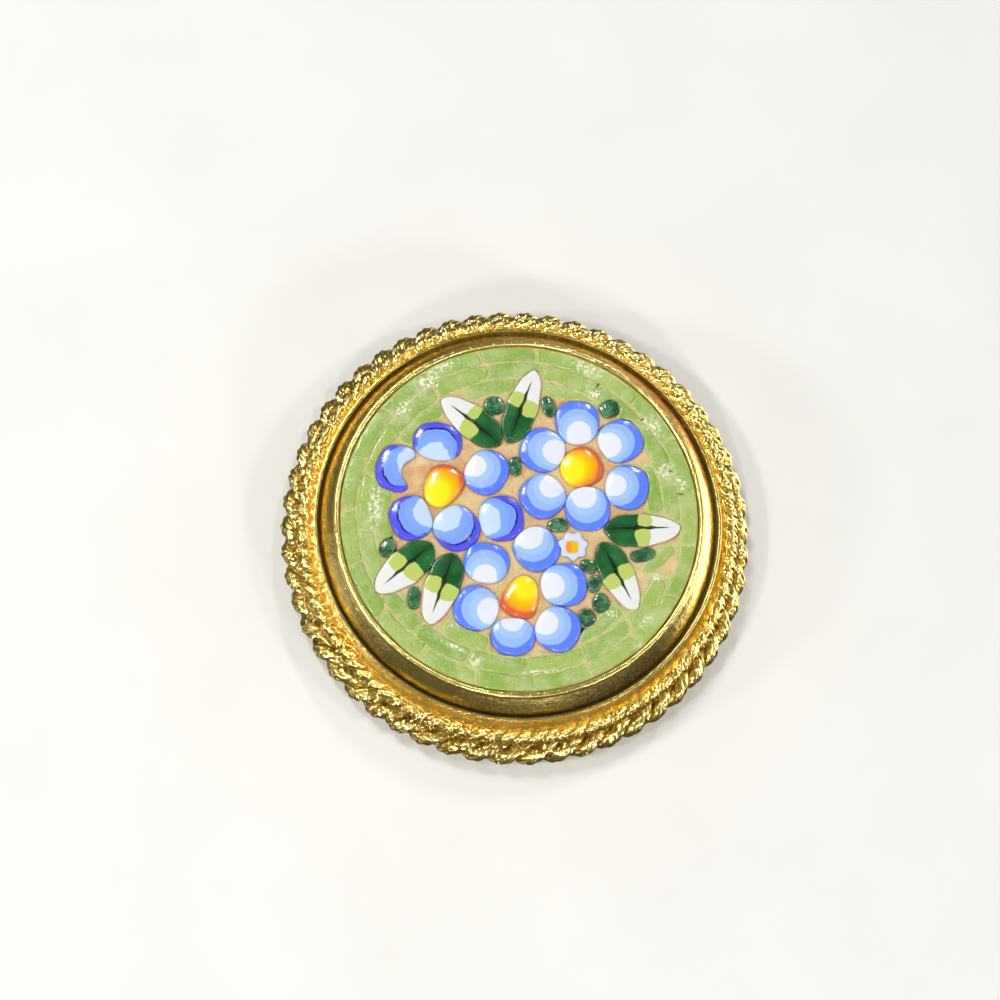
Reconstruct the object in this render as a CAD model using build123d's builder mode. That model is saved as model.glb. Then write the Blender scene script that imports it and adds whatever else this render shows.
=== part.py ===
# Round micromosaic brooch: a gilt setting with two twisted-wire ropes round a
# polished bezel, a grout bed, and a picture of three blue flowers, a small white
# one and six leaves laid in sliced glass cane on a green field. Face up, +Z.
import os
from collections import namedtuple
from math import cos, degrees, hypot, pi, radians, sin, sqrt

from build123d import *

os.makedirs("parts", exist_ok=True)

# Radii, from the mosaic outwards (millimetres)
mosaic_r = 11.10  # outer edge of the grout bed
bed_gap = 0.04  # clearance round the bed
lip_w = 0.36  # width of the rolled lip that holds the mosaic
bezel_run = 0.90  # how far the bezel's wall slopes outwards
groove_w = 0.14  # dark groove between bezel and collar
collar_w = 0.20  # thin upstanding collar
rope_gap = 0.05  # clearance from the collar to the fine rope
rope_step = 0.73  # from the fine rope's centre out to the coarse rope's

# Heights, from the floor that the brooch lies on
rope_clear = 0.05  # coarse rope above the floor
rope_rise = 1.38  # fine rope's centre above the coarse rope's
back_recess = 2.40  # depth of the hollow back
plate_t = 0.50  # back plate
seat_gap = 0.03  # clearance under each piece that is bedded
bed_t = 1.20  # grout bed
stone_t = 0.60  # glass slices
lip_rise = 0.06  # lip above the mosaic's face
bezel_drop = 1.45  # from the lip's top to the groove's floor
collar_h = 0.36  # collar above the groove's floor
rim_h = 0.55  # flat foot that the brooch rests on
rim_in = 0.90  # foot inwards from the collar
rim_out = 0.45  # foot outwards from the collar

# Ropes: two strands each, twisted and soldered on
coarse_strand_r = 0.45
coarse_turns = 27
fine_strand_r = 0.33
fine_turns = 48
strand_nest = 0.90  # distance between a strand and the rope's centre, in strand radii
coarse_steps = 8  # stations in one turn
coarse_sides = 12
fine_steps = 6
fine_sides = 10
solder_t = 0.26  # web that joins the coarse rope to the collar
fine_solder_t = 0.18

# Pin fitting in the hollow back, one plain piece
pin_span = 18.0
pin_bar_w = 2.60
pin_bar_t = 0.40
pin_y = 1.50
pin_block_l = 1.60
pin_floor_gap = 0.35
pin_stem_r = 0.36
pin_tip_l = 2.20
pin_overhang = 1.10
catch_l = 1.00
catch_t = 0.32
catch_gap = 0.12
pin_end_r = 1.29  # rounded ends of the bar
pin_block_w = 1.56
pin_point_taper = 8.0  # degrees
catch_wall_t = 0.64  # wall that carries the catch

# Glass slices
joint_w = 0.12  # grout joint between field tesserae
motif_gap = 0.12  # grout joint round the flowers, leaves and dots
outer_course_w = 0.93
second_course_w = 0.95
third_course_w = 0.90
least_chip = 0.12  # smallest field piece that is laid, in square millimetres
squareness = 2.3  # exponent of the slices' rounded outlines
edge_ease = 0.08  # chamfer on a slice's upper edge

# A slice lies at x, y and faces an angle in degrees. It reaches so far forwards and
# back from its widest line, is so wide each way there, tapers backwards by a share
# of its width, and the grout laps over its back by so much.
Slice = namedtuple("Slice", "x y facing front back half taper lap")
LEFT_PETALS = [
    Slice(-5.16, 4.50, 80, 1.34, 1.08, 1.50, 0.00, 0.00),
    Slice(-2.06, 2.66, -30, 1.26, 1.33, 1.45, 0.02, 0.00),
    Slice(-1.15, -0.28, 8, 1.33, 1.36, 1.43, 0.00, 0.00),
    Slice(-3.92, -0.98, -50, 1.41, 1.41, 1.36, 0.00, 0.00),
    Slice(-6.75, -0.38, 200, 1.25, 1.37, 1.40, 0.00, 0.12),
    Slice(-7.76, 2.84, 167, 1.14, 1.84, 1.46, 0.00, 1.46),
]
UPPER_PETALS = [
    Slice(3.62, 6.10, 92, 1.38, 1.47, 1.36, 0.10, 0.00),
    Slice(6.32, 4.90, 30, 1.38, 1.36, 1.36, 0.00, 0.00),
    Slice(6.70, 1.88, -10, 1.31, 1.34, 1.42, 0.02, 0.00),
    Slice(4.20, 0.44, -85, 1.42, 1.38, 1.38, 0.04, 0.00),
    Slice(1.42, 1.19, 222, 1.39, 1.36, 1.38, 0.00, 0.00),
    Slice(1.42, 4.20, 152, 1.37, 1.36, 1.41, 0.04, 0.00),
]
LOWER_PETALS = [
    Slice(-2.05, -3.12, 80, 1.20, 1.28, 1.38, 0.04, 0.00),
    Slice(0.99, -2.16, -55, 1.42, 1.34, 1.35, 0.02, 0.00),
    Slice(2.66, -4.44, 5, 1.42, 1.37, 1.33, 0.06, 0.00),
    Slice(2.26, -7.20, -25, 1.38, 1.29, 1.38, 0.04, 0.00),
    Slice(-0.42, -7.68, -92, 1.18, 1.10, 1.32, 0.00, 0.00),
    Slice(-2.66, -6.00, 155, 1.32, 1.32, 1.36, 0.04, 0.00),
]
CENTRES = [
    Slice(-4.70, 1.86, 62, 1.18, 1.56, 1.12, 0.14, 0.00),
    Slice(3.92, 3.14, 30, 1.22, 1.38, 1.25, 0.06, 0.00),
    Slice(0.02, -5.43, -108, 1.10, 1.55, 1.06, 0.24, 0.00),
]
DOTS = [
    Slice(-1.62, 7.09, 0, 0.63, 0.62, 0.53, 0.00, 0.00),
    Slice(1.84, 7.06, 110, 0.68, 0.66, 0.38, 0.00, 0.00),
    Slice(5.62, 6.99, 20, 0.62, 0.58, 0.54, 0.00, 0.00),
    Slice(-0.32, 3.08, 90, 0.57, 0.58, 0.34, 0.00, 0.00),
    Slice(2.38, -0.68, 2, 0.56, 0.66, 0.40, 0.00, 0.00),
    Slice(-8.16, -2.30, 75, 0.56, 0.56, 0.40, 0.00, 0.00),
    Slice(-6.46, -5.42, 85, 0.68, 0.66, 0.36, 0.00, 0.00),
    Slice(7.60, -2.46, 8, 0.72, 0.72, 0.36, 0.00, 0.00),
    Slice(4.22, -3.28, -28, 0.44, 0.50, 0.38, 0.00, 0.00),
    Slice(4.60, -4.30, 78, 0.46, 0.54, 0.33, 0.00, 0.00),
    Slice(4.92, -5.50, 80, 0.52, 0.60, 0.46, 0.00, 0.00),
    Slice(4.10, -6.48, -55, 0.50, 0.52, 0.46, 0.00, 0.00),
]

# A leaf runs from its tip to its base. Looking that way it is so wide to the left and
# to the right of its midrib.
Leaf = namedtuple("Leaf", "name tip_x tip_y base_x base_y left right")
LEAVES = [
    Leaf("leaf_top_left", -4.88, 7.42, -1.26, 4.55, 1.06, 0.98),
    Leaf("leaf_top", 0.98, 9.44, -0.70, 4.68, 0.98, 0.92),
    Leaf("leaf_right", 9.92, -0.72, 5.25, -0.86, 1.12, 0.88),
    Leaf("leaf_lower_right", 7.06, -5.92, 5.04, -1.76, 0.98, 0.98),
    Leaf("leaf_lower_left", -8.72, -5.05, -5.42, -2.04, 1.06, 1.08),
    Leaf("leaf_bottom_left", -5.52, -7.00, -4.08, -2.60, 1.02, 1.04),
]
# Half outline of every leaf: share of its length from the tip, share of its half width
LEAF_STATIONS = [
    (0.05, 0.36),
    (0.19, 0.70),
    (0.36, 0.90),
    (0.50, 1.04),
    (0.62, 0.97),
    (0.76, 0.96),
    (0.90, 0.66),
    (0.98, 0.26),
]

# Small white flower: its outline is a circle with lobes
small_flower_x = 3.28
small_flower_y = -2.00
small_flower_r = 0.81
small_flower_lobes = 7
small_flower_lobe_h = 0.09
small_flower_turn = 12.0

# Field courses: angle of the first joint, number of pieces, slant of the joints
OUTER_COURSE = (9.0, 19, 0.5)
SECOND_COURSE = (18.0, 17, -0.8)
# Third course: only these pieces, from one angle to another
THIRD_COURSE = [(1, 22), (57, 79), (91, 113), (125, 149), (170, 193), (238, 257), (294, 316)]
# One slanting piece takes the place of a second-course piece by the right-hand leaf
SLANT_PIECE = Slice(8.62, -2.76, 42, 1.32, 1.32, 0.36, 0.00, 0.00)
slant_place = 15

# Radii that follow
recess_r = mosaic_r + bed_gap
lip_r = recess_r + lip_w
bezel_r = lip_r + bezel_run
collar_in_r = bezel_r + groove_w
collar_r = collar_in_r + collar_w
fine_rope_w = fine_strand_r * (1 + strand_nest)
coarse_rope_w = coarse_strand_r * (1 + strand_nest)
fine_rope_r = collar_r + rope_gap + fine_rope_w
coarse_rope_r = fine_rope_r + rope_step

# Heights that follow
coarse_rope_z = rope_clear + coarse_rope_w
fine_rope_z = coarse_rope_z + rope_rise
plate_top = back_recess + plate_t
bed_z = plate_top + seat_gap
stone_z = bed_z + bed_t + seat_gap
mosaic_top = stone_z + stone_t
lip_top = mosaic_top + lip_rise
groove_z = lip_top - bezel_drop
collar_top = groove_z + collar_h


def rope_ring(ring_r, ring_z, strand_r, turns, steps, sides):
    """Two strands twisted round each other along a circle, as one faceted solid."""
    offset = strand_r * strand_nest
    stations = turns * steps
    rows = []
    for i in range(stations):
        theta = 2 * pi * i / stations
        row = []
        for j in range(sides):
            a = 2 * pi * j / sides
            reach = offset * abs(cos(a)) + sqrt(strand_r**2 - (offset * sin(a)) ** 2)
            lobe = a + turns * theta
            r = ring_r + reach * cos(lobe)
            row.append(Vector(r * cos(theta), r * sin(theta), ring_z + reach * sin(lobe)))
        rows.append(row)
    faces = []
    for i in range(stations):
        here, ahead = rows[i], rows[(i + 1) % stations]
        for j in range(sides):
            k = (j + 1) % sides
            faces.append(Face(Wire.make_polygon([here[j], ahead[j], here[k]])))
            faces.append(Face(Wire.make_polygon([ahead[j], ahead[k], here[k]])))
    return Solid(Shell(faces))


def slice_points(row, grow=0.0, count=16):
    """Points round a slice's outline, widened all round by grow."""
    turn = radians(row.facing)
    points = []
    for i in range(count):
        t = 2 * pi * i / count
        c, s = cos(t), sin(t)
        reach = (row.front if c > 0 else row.back) + grow
        along = reach * (1 if c > 0 else -1) * abs(c) ** (2 / squareness)
        if c < 0:
            along += row.lap * c**4
        half = (row.half + grow) * (1 + row.taper * c)
        across = half * (1 if s > 0 else -1) * abs(s) ** (2 / squareness)
        x = row.x + along * cos(turn) - across * sin(turn)
        y = row.y + along * sin(turn) + across * cos(turn)
        points.append((x, y))
    return points


def leaf_points(leaf, grow=0.0):
    """Points round a leaf's outline, widened all round by grow."""
    run_x, run_y = leaf.base_x - leaf.tip_x, leaf.base_y - leaf.tip_y
    length = hypot(run_x, run_y)
    ux, uy = run_x / length, run_y / length
    stations = [(-grow, 0.0)]
    for share, width in LEAF_STATIONS:
        stations.append((share * (length + 2 * grow) - grow, width * (leaf.left + grow)))
    stations.append((length + grow, 0.0))
    back = []
    for share, width in reversed(LEAF_STATIONS):
        back.append((share * (length + 2 * grow) - grow, -width * (leaf.right + grow)))
    points = []
    for along, across in stations + back:
        points.append((leaf.tip_x + along * ux - across * uy, leaf.tip_y + along * uy + across * ux))
    return points


def small_flower_points(grow=0.0, per_lobe=4):
    """Points round the small flower's lobed outline."""
    count = small_flower_lobes * per_lobe
    points = []
    for i in range(count):
        t = 2 * pi * i / count
        r = small_flower_r + grow + small_flower_lobe_h * cos(small_flower_lobes * t)
        a = t + radians(small_flower_turn)
        points.append((small_flower_x + r * cos(a), small_flower_y + r * sin(a)))
    return points


def export_slice(name, points):
    """One glass slice: its outline drawn on the bed, raised and eased at the top."""
    with BuildPart() as piece:
        with BuildSketch(Plane.XY.offset(stone_z)):
            with BuildLine():
                Spline(*points, periodic=True)
            make_face()
        extrude(amount=stone_t)
        chamfer(piece.edges().group_by(Axis.Z)[-1], length=edge_ease)
    piece.part.label = name
    export_step(piece.part, f"parts/{name}.step")


# Setting: back plate, foot, bezel and collar turned in one, with both ropes soldered on
coarse_rope = rope_ring(
    coarse_rope_r, coarse_rope_z, coarse_strand_r, coarse_turns, coarse_steps, coarse_sides
)
fine_rope = rope_ring(fine_rope_r, fine_rope_z, fine_strand_r, fine_turns, fine_steps, fine_sides)
lip_round = lip_w / 2
with BuildPart() as setting:
    with BuildSketch(Plane.XZ):
        with BuildLine():
            Polyline(
                (recess_r, lip_top - lip_round),
                (recess_r, plate_top),
                (0, plate_top),
                (0, back_recess),
                (collar_r - rim_in, back_recess),
                (collar_r - rim_in, 0),
                (collar_r + rim_out, 0),
                (collar_r + rim_out, rim_h),
                (collar_r, rim_h),
                (collar_r, coarse_rope_z - solder_t / 2),
                (coarse_rope_r, coarse_rope_z - solder_t / 2),
                (coarse_rope_r, coarse_rope_z + solder_t / 2),
                (collar_r, coarse_rope_z + solder_t / 2),
                (collar_r, fine_rope_z - fine_solder_t / 2),
                (fine_rope_r, fine_rope_z - fine_solder_t / 2),
                (fine_rope_r, fine_rope_z + fine_solder_t / 2),
                (collar_r, fine_rope_z + fine_solder_t / 2),
                (collar_r, collar_top),
                (collar_in_r, collar_top),
                (collar_in_r, groove_z),
                (bezel_r, groove_z),
                (lip_r, lip_top - lip_round),
            )
            ThreePointArc(
                (lip_r, lip_top - lip_round),
                (recess_r + lip_round, lip_top),
                (recess_r, lip_top - lip_round),
            )
        make_face()
    revolve(axis=Axis.Z)
    add(coarse_rope)
    add(fine_rope)
setting.part.label = "setting"
export_step(setting.part, "parts/setting.step")

# Pin fitting: a bar on the back plate with a hinge block, a stem and a catch
bar_top = back_recess - seat_gap
bar_z = bar_top - pin_bar_t
block_z = pin_floor_gap
stem_z = block_z + catch_t + catch_gap + pin_stem_r
catch_r = pin_stem_r + catch_gap
hinge_x = -pin_span / 2
catch_x = pin_span / 2
with BuildPart() as brooch_pin:
    with BuildSketch(Plane.XY.offset(bar_z)):
        with Locations((0, pin_y)):
            RectangleRounded(pin_span + pin_bar_w, pin_bar_w, pin_end_r)
    extrude(amount=pin_bar_t)
    with BuildSketch(Plane.XY.offset(block_z)):
        with Locations((hinge_x, pin_y)):
            Rectangle(pin_block_l, pin_block_w)
    extrude(amount=bar_z - block_z)
    with BuildSketch(Plane.YZ.offset(hinge_x)):
        with Locations((pin_y, stem_z)):
            Circle(pin_stem_r)
    extrude(amount=pin_span - pin_tip_l + pin_overhang)
    with BuildSketch(Plane.YZ.offset(catch_x - pin_tip_l + pin_overhang)):
        with Locations((pin_y, stem_z)):
            Circle(pin_stem_r)
    extrude(amount=pin_tip_l, taper=pin_point_taper)
    with BuildSketch(Plane.YZ.offset(catch_x - catch_l)):
        with Locations((pin_y, stem_z)):
            Circle(catch_r + catch_t)
            Circle(catch_r, mode=Mode.SUBTRACT)
        with Locations((pin_y - catch_r, stem_z + catch_r / 2)):
            Rectangle(2 * catch_r, catch_r, mode=Mode.SUBTRACT)
        with Locations((pin_y + catch_r, (stem_z + bar_z) / 2 + catch_t / 2)):
            Rectangle(catch_wall_t, bar_z - stem_z + catch_t)
    extrude(amount=catch_l)
brooch_pin.part.label = "brooch_pin"
export_step(brooch_pin.part, "parts/brooch_pin.step")

# Grout bed that the slices are set on
with BuildPart() as grout_bed:
    with BuildSketch(Plane.XY.offset(bed_z)):
        Circle(mosaic_r)
    extrude(amount=bed_t)
grout_bed.part.label = "grout_bed"
export_step(grout_bed.part, "parts/grout_bed.step")

# Petals and flower centres, one slice each
FLOWERS = {"left": LEFT_PETALS, "upper": UPPER_PETALS, "lower": LOWER_PETALS}
motif_outlines = []
for (flower, petals), centre in zip(FLOWERS.items(), CENTRES):
    for number, row in enumerate(petals, 1):
        export_slice(f"{flower}_flower_petal_{number}", slice_points(row))
        motif_outlines.append(slice_points(row, motif_gap))
    export_slice(f"{flower}_flower_centre", slice_points(centre))

# Leaves, one slice of leaf cane each
for leaf in LEAVES:
    export_slice(leaf.name, leaf_points(leaf))
    motif_outlines.append(leaf_points(leaf, motif_gap))

# Small white flower
export_slice("small_flower", small_flower_points())

# Dark green dots between the flowers, loose slices in one node
with BuildPart() as dark_dots:
    for row in DOTS:
        with BuildSketch(Plane.XY.offset(stone_z)):
            with BuildLine():
                Spline(*slice_points(row), periodic=True)
            make_face()
        extrude(amount=stone_t)
        motif_outlines.append(slice_points(row, motif_gap))
dark_dots.part.label = "dark_dots"
export_step(dark_dots.part, "parts/dark_dots.step")


def course_cell(inner_r, outer_r, start, end, slant):
    """Six points round a field tessera with slanting ends: four corners, two mid-arcs."""
    joint = degrees(joint_w / outer_r) / 2
    first_end, mid, last_end = start + joint, (start + end) / 2, end - joint
    points = []
    for r, angle in [
        (inner_r, first_end - slant),
        (outer_r, first_end + slant),
        (outer_r, mid + slant),
        (outer_r, last_end + slant),
        (inner_r, last_end - slant),
        (inner_r, mid - slant),
    ]:
        points.append((r * cos(radians(angle)), r * sin(radians(angle))))
    return points


# Green field: courses of long tesserae, cut to fit round the flowers and leaves
outer_r = mosaic_r - joint_w / 2
second_r = outer_r - outer_course_w - joint_w
third_r = second_r - second_course_w - joint_w
cells = []
for (first, count, slant), top_r, width in [
    (OUTER_COURSE, outer_r, outer_course_w),
    (SECOND_COURSE, second_r, second_course_w),
]:
    pitch = 360 / count
    for i in range(count):
        start = first + i * pitch
        if (count, i) != (SECOND_COURSE[1], slant_place):
            cells.append(course_cell(top_r - width, top_r, start, start + pitch, slant))
for start, end in THIRD_COURSE:
    cells.append(course_cell(third_r - third_course_w, third_r, start, end, 0))
with BuildPart() as green_field:
    with BuildSketch(Plane.XY.offset(stone_z)) as courses:
        for low_a, high_a, high_mid, high_b, low_b, low_mid in cells:
            with BuildLine():
                Line(low_a, high_a)
                ThreePointArc(high_a, high_mid, high_b)
                Line(high_b, low_b)
                ThreePointArc(low_b, low_mid, low_a)
            make_face()
        with BuildLine():
            Spline(*slice_points(SLANT_PIECE), periodic=True)
        make_face()
        for points in motif_outlines:
            with BuildLine():
                Spline(*points, periodic=True)
            make_face(mode=Mode.SUBTRACT)
    for face in courses.sketch.faces():
        if face.area > least_chip:
            extrude(face, amount=stone_t)
green_field.part.label = "green_field"
export_step(green_field.part, "parts/green_field.step")
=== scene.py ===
# %% [markdown]
# This lesson dresses a small round brooch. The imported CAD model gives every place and
# size, and Blender adds what the eye judges: pillowed glass, sandy grout, twisted gilt
# wire and worn metal. Nothing that it brings in is moved. A piece either gets a better
# material or is replaced by a finer one in the same place.

from collections import defaultdict, namedtuple
from math import ceil, cos, exp, pi, radians, sin, sqrt

import bpy
import numpy as np
from mathutils import Matrix, Vector, geometry, kdtree, noise


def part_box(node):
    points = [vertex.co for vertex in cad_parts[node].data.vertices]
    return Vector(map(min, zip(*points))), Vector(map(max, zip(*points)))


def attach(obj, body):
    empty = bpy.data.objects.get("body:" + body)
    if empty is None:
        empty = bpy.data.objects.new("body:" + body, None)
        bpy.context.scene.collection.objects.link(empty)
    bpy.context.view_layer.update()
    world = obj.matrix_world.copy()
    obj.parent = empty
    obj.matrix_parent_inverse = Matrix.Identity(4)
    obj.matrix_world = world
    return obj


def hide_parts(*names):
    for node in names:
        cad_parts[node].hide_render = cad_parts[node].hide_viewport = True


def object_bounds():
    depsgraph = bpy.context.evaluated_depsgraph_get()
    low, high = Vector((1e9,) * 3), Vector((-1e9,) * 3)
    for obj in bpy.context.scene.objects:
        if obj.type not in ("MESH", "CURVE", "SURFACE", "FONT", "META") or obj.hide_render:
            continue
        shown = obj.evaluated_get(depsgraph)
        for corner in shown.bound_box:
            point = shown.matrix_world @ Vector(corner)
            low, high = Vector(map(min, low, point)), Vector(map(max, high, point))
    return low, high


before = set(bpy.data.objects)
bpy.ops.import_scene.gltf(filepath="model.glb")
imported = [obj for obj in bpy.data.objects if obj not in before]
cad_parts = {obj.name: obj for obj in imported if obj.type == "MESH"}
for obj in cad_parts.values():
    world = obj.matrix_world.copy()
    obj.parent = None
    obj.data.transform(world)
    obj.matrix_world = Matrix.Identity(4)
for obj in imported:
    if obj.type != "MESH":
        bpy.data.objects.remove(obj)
cad_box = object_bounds()
print("CAD nodes:", len(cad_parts), "box:", [tuple(round(v, 5) for v in c) for c in cad_box])

# %% [markdown]
# The brooch is 30 mm wide, so metres make awkward numbers. The lesson thinks in
# millimetres and turns them into metres in one place, where a mesh is made. The heights
# of the bed, the glass and the lip are read from the frame, so a change in the CAD
# model carries through.

# %% Millimetres and measured heights
MM = 0.001


def box_mm(node):
    """Lowest and highest corner of a CAD node, in millimetres."""
    low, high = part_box(node)
    return np.array(low) / MM, np.array(high) / MM


bed_low, bed_high = box_mm("grout_bed")
glass_low, glass_high = box_mm("upper_flower_petal_1")
mosaic_r = bed_high[0]
glass_z = glass_low[2]
glass_top = glass_high[2]
lip_top = box_mm("setting")[1][2]
print("mosaic radius", round(mosaic_r, 2), "glass", round(glass_z, 2), "to", round(glass_top, 2))

# %% [markdown]
# Every piece is a mesh made from lists of points and faces. One helper turns them into an
# object that rides on the CAD body, stands for its CAD nodes and takes their finish.
# Numbers that a material needs, such as where in the cane a point lies, travel with the
# mesh as named attributes. That works in every view and needs no picture.

# %% Helper that makes a piece
def make_piece(name, points, faces, material, stands_for, values=None):
    """An object from points in millimetres, smooth shaded, with named attributes."""
    mesh = bpy.data.meshes.new(name)
    mesh.from_pydata((np.asarray(points) * MM).tolist(), [], faces)
    mesh.polygons.foreach_set("use_smooth", [True] * len(mesh.polygons))
    for key, numbers in (values or {}).items():
        numbers = np.asarray(numbers, float)
        if numbers.ndim == 2:
            mesh.attributes.new(key, "FLOAT_VECTOR", "POINT").data.foreach_set("vector", numbers.ravel())
        else:
            mesh.attributes.new(key, "FLOAT", "POINT").data.foreach_set("value", numbers)
    mesh.materials.append(material)
    mesh.update()
    piece = bpy.data.objects.new(name, mesh)
    bpy.context.scene.collection.objects.link(piece)
    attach(piece, "root")
    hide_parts(*stands_for)
    return piece


def triangles(piece):
    return sum(len(p.vertices) - 2 for p in piece.data.polygons)


print("helper ready: make_piece")

# %% [markdown]
# The photograph was taken from above and a little from the front. The camera stands on
# a line that leans 16 degrees from straight down, at seven brooch radii, and turns a
# touch so that the brooch sits where the photograph has it. A rotation does this
# better than a lens shift, because it stays right when the camera moves round.

# %% Camera
camera_lean = radians(16.12)
camera_side = radians(-13.28)
camera_reach = 105.0
focal_px = 1641.0
picture_px = 1000
target_px = (516.1, 530.1)
target_z = 0.905
sensor_mm = 36.0

back = Vector(
    (sin(camera_lean) * sin(camera_side), -sin(camera_lean) * cos(camera_side), cos(camera_lean))
)
up = (Vector((0, 1, 0)) - back * back.y).normalized()
right = up.cross(back)
view_axes = Matrix((right, up, back)).transposed()
half_px = picture_px / 2
ray = Vector(((target_px[0] - half_px) / focal_px, (half_px - target_px[1]) / focal_px, -1)).normalized()
ray_x = Vector((0, 1, 0)).cross(-ray).normalized()
ray_y = (-ray).cross(ray_x)
turn_to_target = Matrix((ray_x, ray_y, -ray))
camera_data = bpy.data.cameras.new("camera")
camera_data.sensor_width = sensor_mm
camera_data.lens = sensor_mm * focal_px / picture_px
camera_data.clip_start = MM
camera = bpy.data.objects.new("camera", camera_data)
place = (Vector((0, 0, target_z)) + back * camera_reach) * MM
camera.matrix_world = Matrix.Translation(place) @ (view_axes @ turn_to_target).to_4x4()
bpy.context.scene.collection.objects.link(camera)
bpy.context.scene.camera = camera
print("camera at", [round(v, 4) for v in place], "lens", round(camera_data.lens, 2))

# %% [markdown]
# Materials are built from nodes in code. A few one-line helpers keep that readable: one
# adds a node, one feeds a socket with a number or a link, and the others make the usual
# sums, soft steps and colour mixes. Colours are written as they look on a screen, from 0
# to 255, and turned into the linear values that Blender mixes in.

# %% Node helpers
def screen(red, green, blue):
    """A screen colour as linear RGBA."""
    linear = []
    for value in (red, green, blue):
        share = value / 255
        linear.append(share / 12.92 if share < 0.04045 else ((share + 0.055) / 1.055) ** 2.4)
    return (*linear, 1.0)


def add_node(tree, kind, **settings):
    made = tree.nodes.new(kind)
    for key, value in settings.items():
        setattr(made, key, value)
    return made


def feed(tree, socket, value):
    if isinstance(value, bpy.types.NodeSocket):
        tree.links.new(value, socket)
    else:
        socket.default_value = value


def calc(tree, operation, *values):
    made = add_node(tree, "ShaderNodeMath", operation=operation)
    for socket, value in zip(made.inputs, values):
        feed(tree, socket, value)
    return made.outputs[0]


def plus(tree, first, second):
    return calc(tree, "ADD", first, second)


def minus(tree, first, second):
    return calc(tree, "SUBTRACT", first, second)


def times(tree, first, second):
    return calc(tree, "MULTIPLY", first, second)


def unsigned(tree, value):
    return calc(tree, "ABSOLUTE", value)


def length_of(tree, x, y):
    """How far the point (x, y) is from the origin."""
    return calc(tree, "SQRT", plus(tree, times(tree, x, x), times(tree, y, y)))


def soft_step(tree, value, start, end, low=0.0, high=1.0):
    """From low to high as the value goes from start to end, with soft shoulders."""
    made = add_node(tree, "ShaderNodeMapRange", interpolation_type="SMOOTHSTEP")
    sockets = ("Value", "From Min", "From Max", "To Min", "To Max")
    for key, number in zip(sockets, (value, start, end, low, high)):
        feed(tree, made.inputs[key], number)
    return made.outputs["Result"]


def mix(tree, share, first, second):
    made = add_node(tree, "ShaderNodeMix", data_type="RGBA", blend_type="MIX")
    feed(tree, made.inputs[0], share)
    feed(tree, made.inputs[6], first)
    feed(tree, made.inputs[7], second)
    return made.outputs[2]


def noise_at(tree, vector, scale, detail=3.0, roughness=0.55):
    made = add_node(tree, "ShaderNodeTexNoise")
    feed(tree, made.inputs["Vector"], vector)
    feed(tree, made.inputs["Scale"], scale)
    feed(tree, made.inputs["Detail"], detail)
    feed(tree, made.inputs["Roughness"], roughness)
    return made.outputs["Fac"]


def place_mm(tree):
    """Where a point lies on the object, in millimetres."""
    where = add_node(tree, "ShaderNodeTexCoord")
    scaled = add_node(tree, "ShaderNodeVectorMath", operation="SCALE")
    feed(tree, scaled.inputs[0], where.outputs["Object"])
    feed(tree, scaled.inputs["Scale"], 1 / MM)
    return scaled.outputs["Vector"]


def carried(tree, name, kind="Vector"):
    """A named attribute that travels with the mesh."""
    return add_node(tree, "ShaderNodeAttribute", attribute_name=name).outputs[kind]


def split(tree, vector):
    made = add_node(tree, "ShaderNodeSeparateXYZ")
    feed(tree, made.inputs[0], vector)
    return made.outputs[0], made.outputs[1], made.outputs[2]


print("node helpers ready")


# %% Helpers for groups and materials
FLOAT, COLOUR = "NodeSocketFloat", "NodeSocketColor"


def new_group(name, inputs, outputs):
    """A shader node group with named sockets: (tree, its inputs by name, its output node)."""
    tree = bpy.data.node_groups.new(name, "ShaderNodeTree")
    for key, kind, value in inputs:
        tree.interface.new_socket(key, in_out="INPUT", socket_type=kind).default_value = value
    for key, kind in outputs:
        tree.interface.new_socket(key, in_out="OUTPUT", socket_type=kind)
    return tree, tree.nodes.new("NodeGroupInput").outputs, tree.nodes.new("NodeGroupOutput")


def use_group(tree, group, **values):
    """Places a group. A name such as Line_Width sets the socket Line Width."""
    made = add_node(tree, "ShaderNodeGroup", node_tree=group)
    for key, value in values.items():
        feed(tree, made.inputs[key.replace("_", " ")], value)
    return made.outputs


def new_material(name, **constants):
    """A material with one Principled BSDF, and constants set on its own sockets."""
    material = bpy.data.materials.new(name)
    material.use_nodes = True
    shader = material.node_tree.nodes["Principled BSDF"]
    for key, value in constants.items():
        shader.inputs[key.replace("_", " ")].default_value = value
    return material, material.node_tree, shader


def relief(tree, shader, height, distance_mm):
    """Bump from a height, with its depth in millimetres."""
    bump = add_node(tree, "ShaderNodeBump")
    feed(tree, bump.inputs["Height"], height)
    bump.inputs["Distance"].default_value = distance_mm * MM
    bump.inputs["Strength"].default_value = 1.0
    feed(tree, shader.inputs["Normal"], bump.outputs["Normal"])


print("group and material helpers ready")

# %% [markdown]
# Two effects return in many finishes, so each is a group that is built once. Fine dust
# settles in patches over glass and grout, makes them paler and duller, and has brighter
# grains in it. Pits are the small chips and seeds of hand-cut glass, and they are
# what sparkles when light falls on it.

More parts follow.
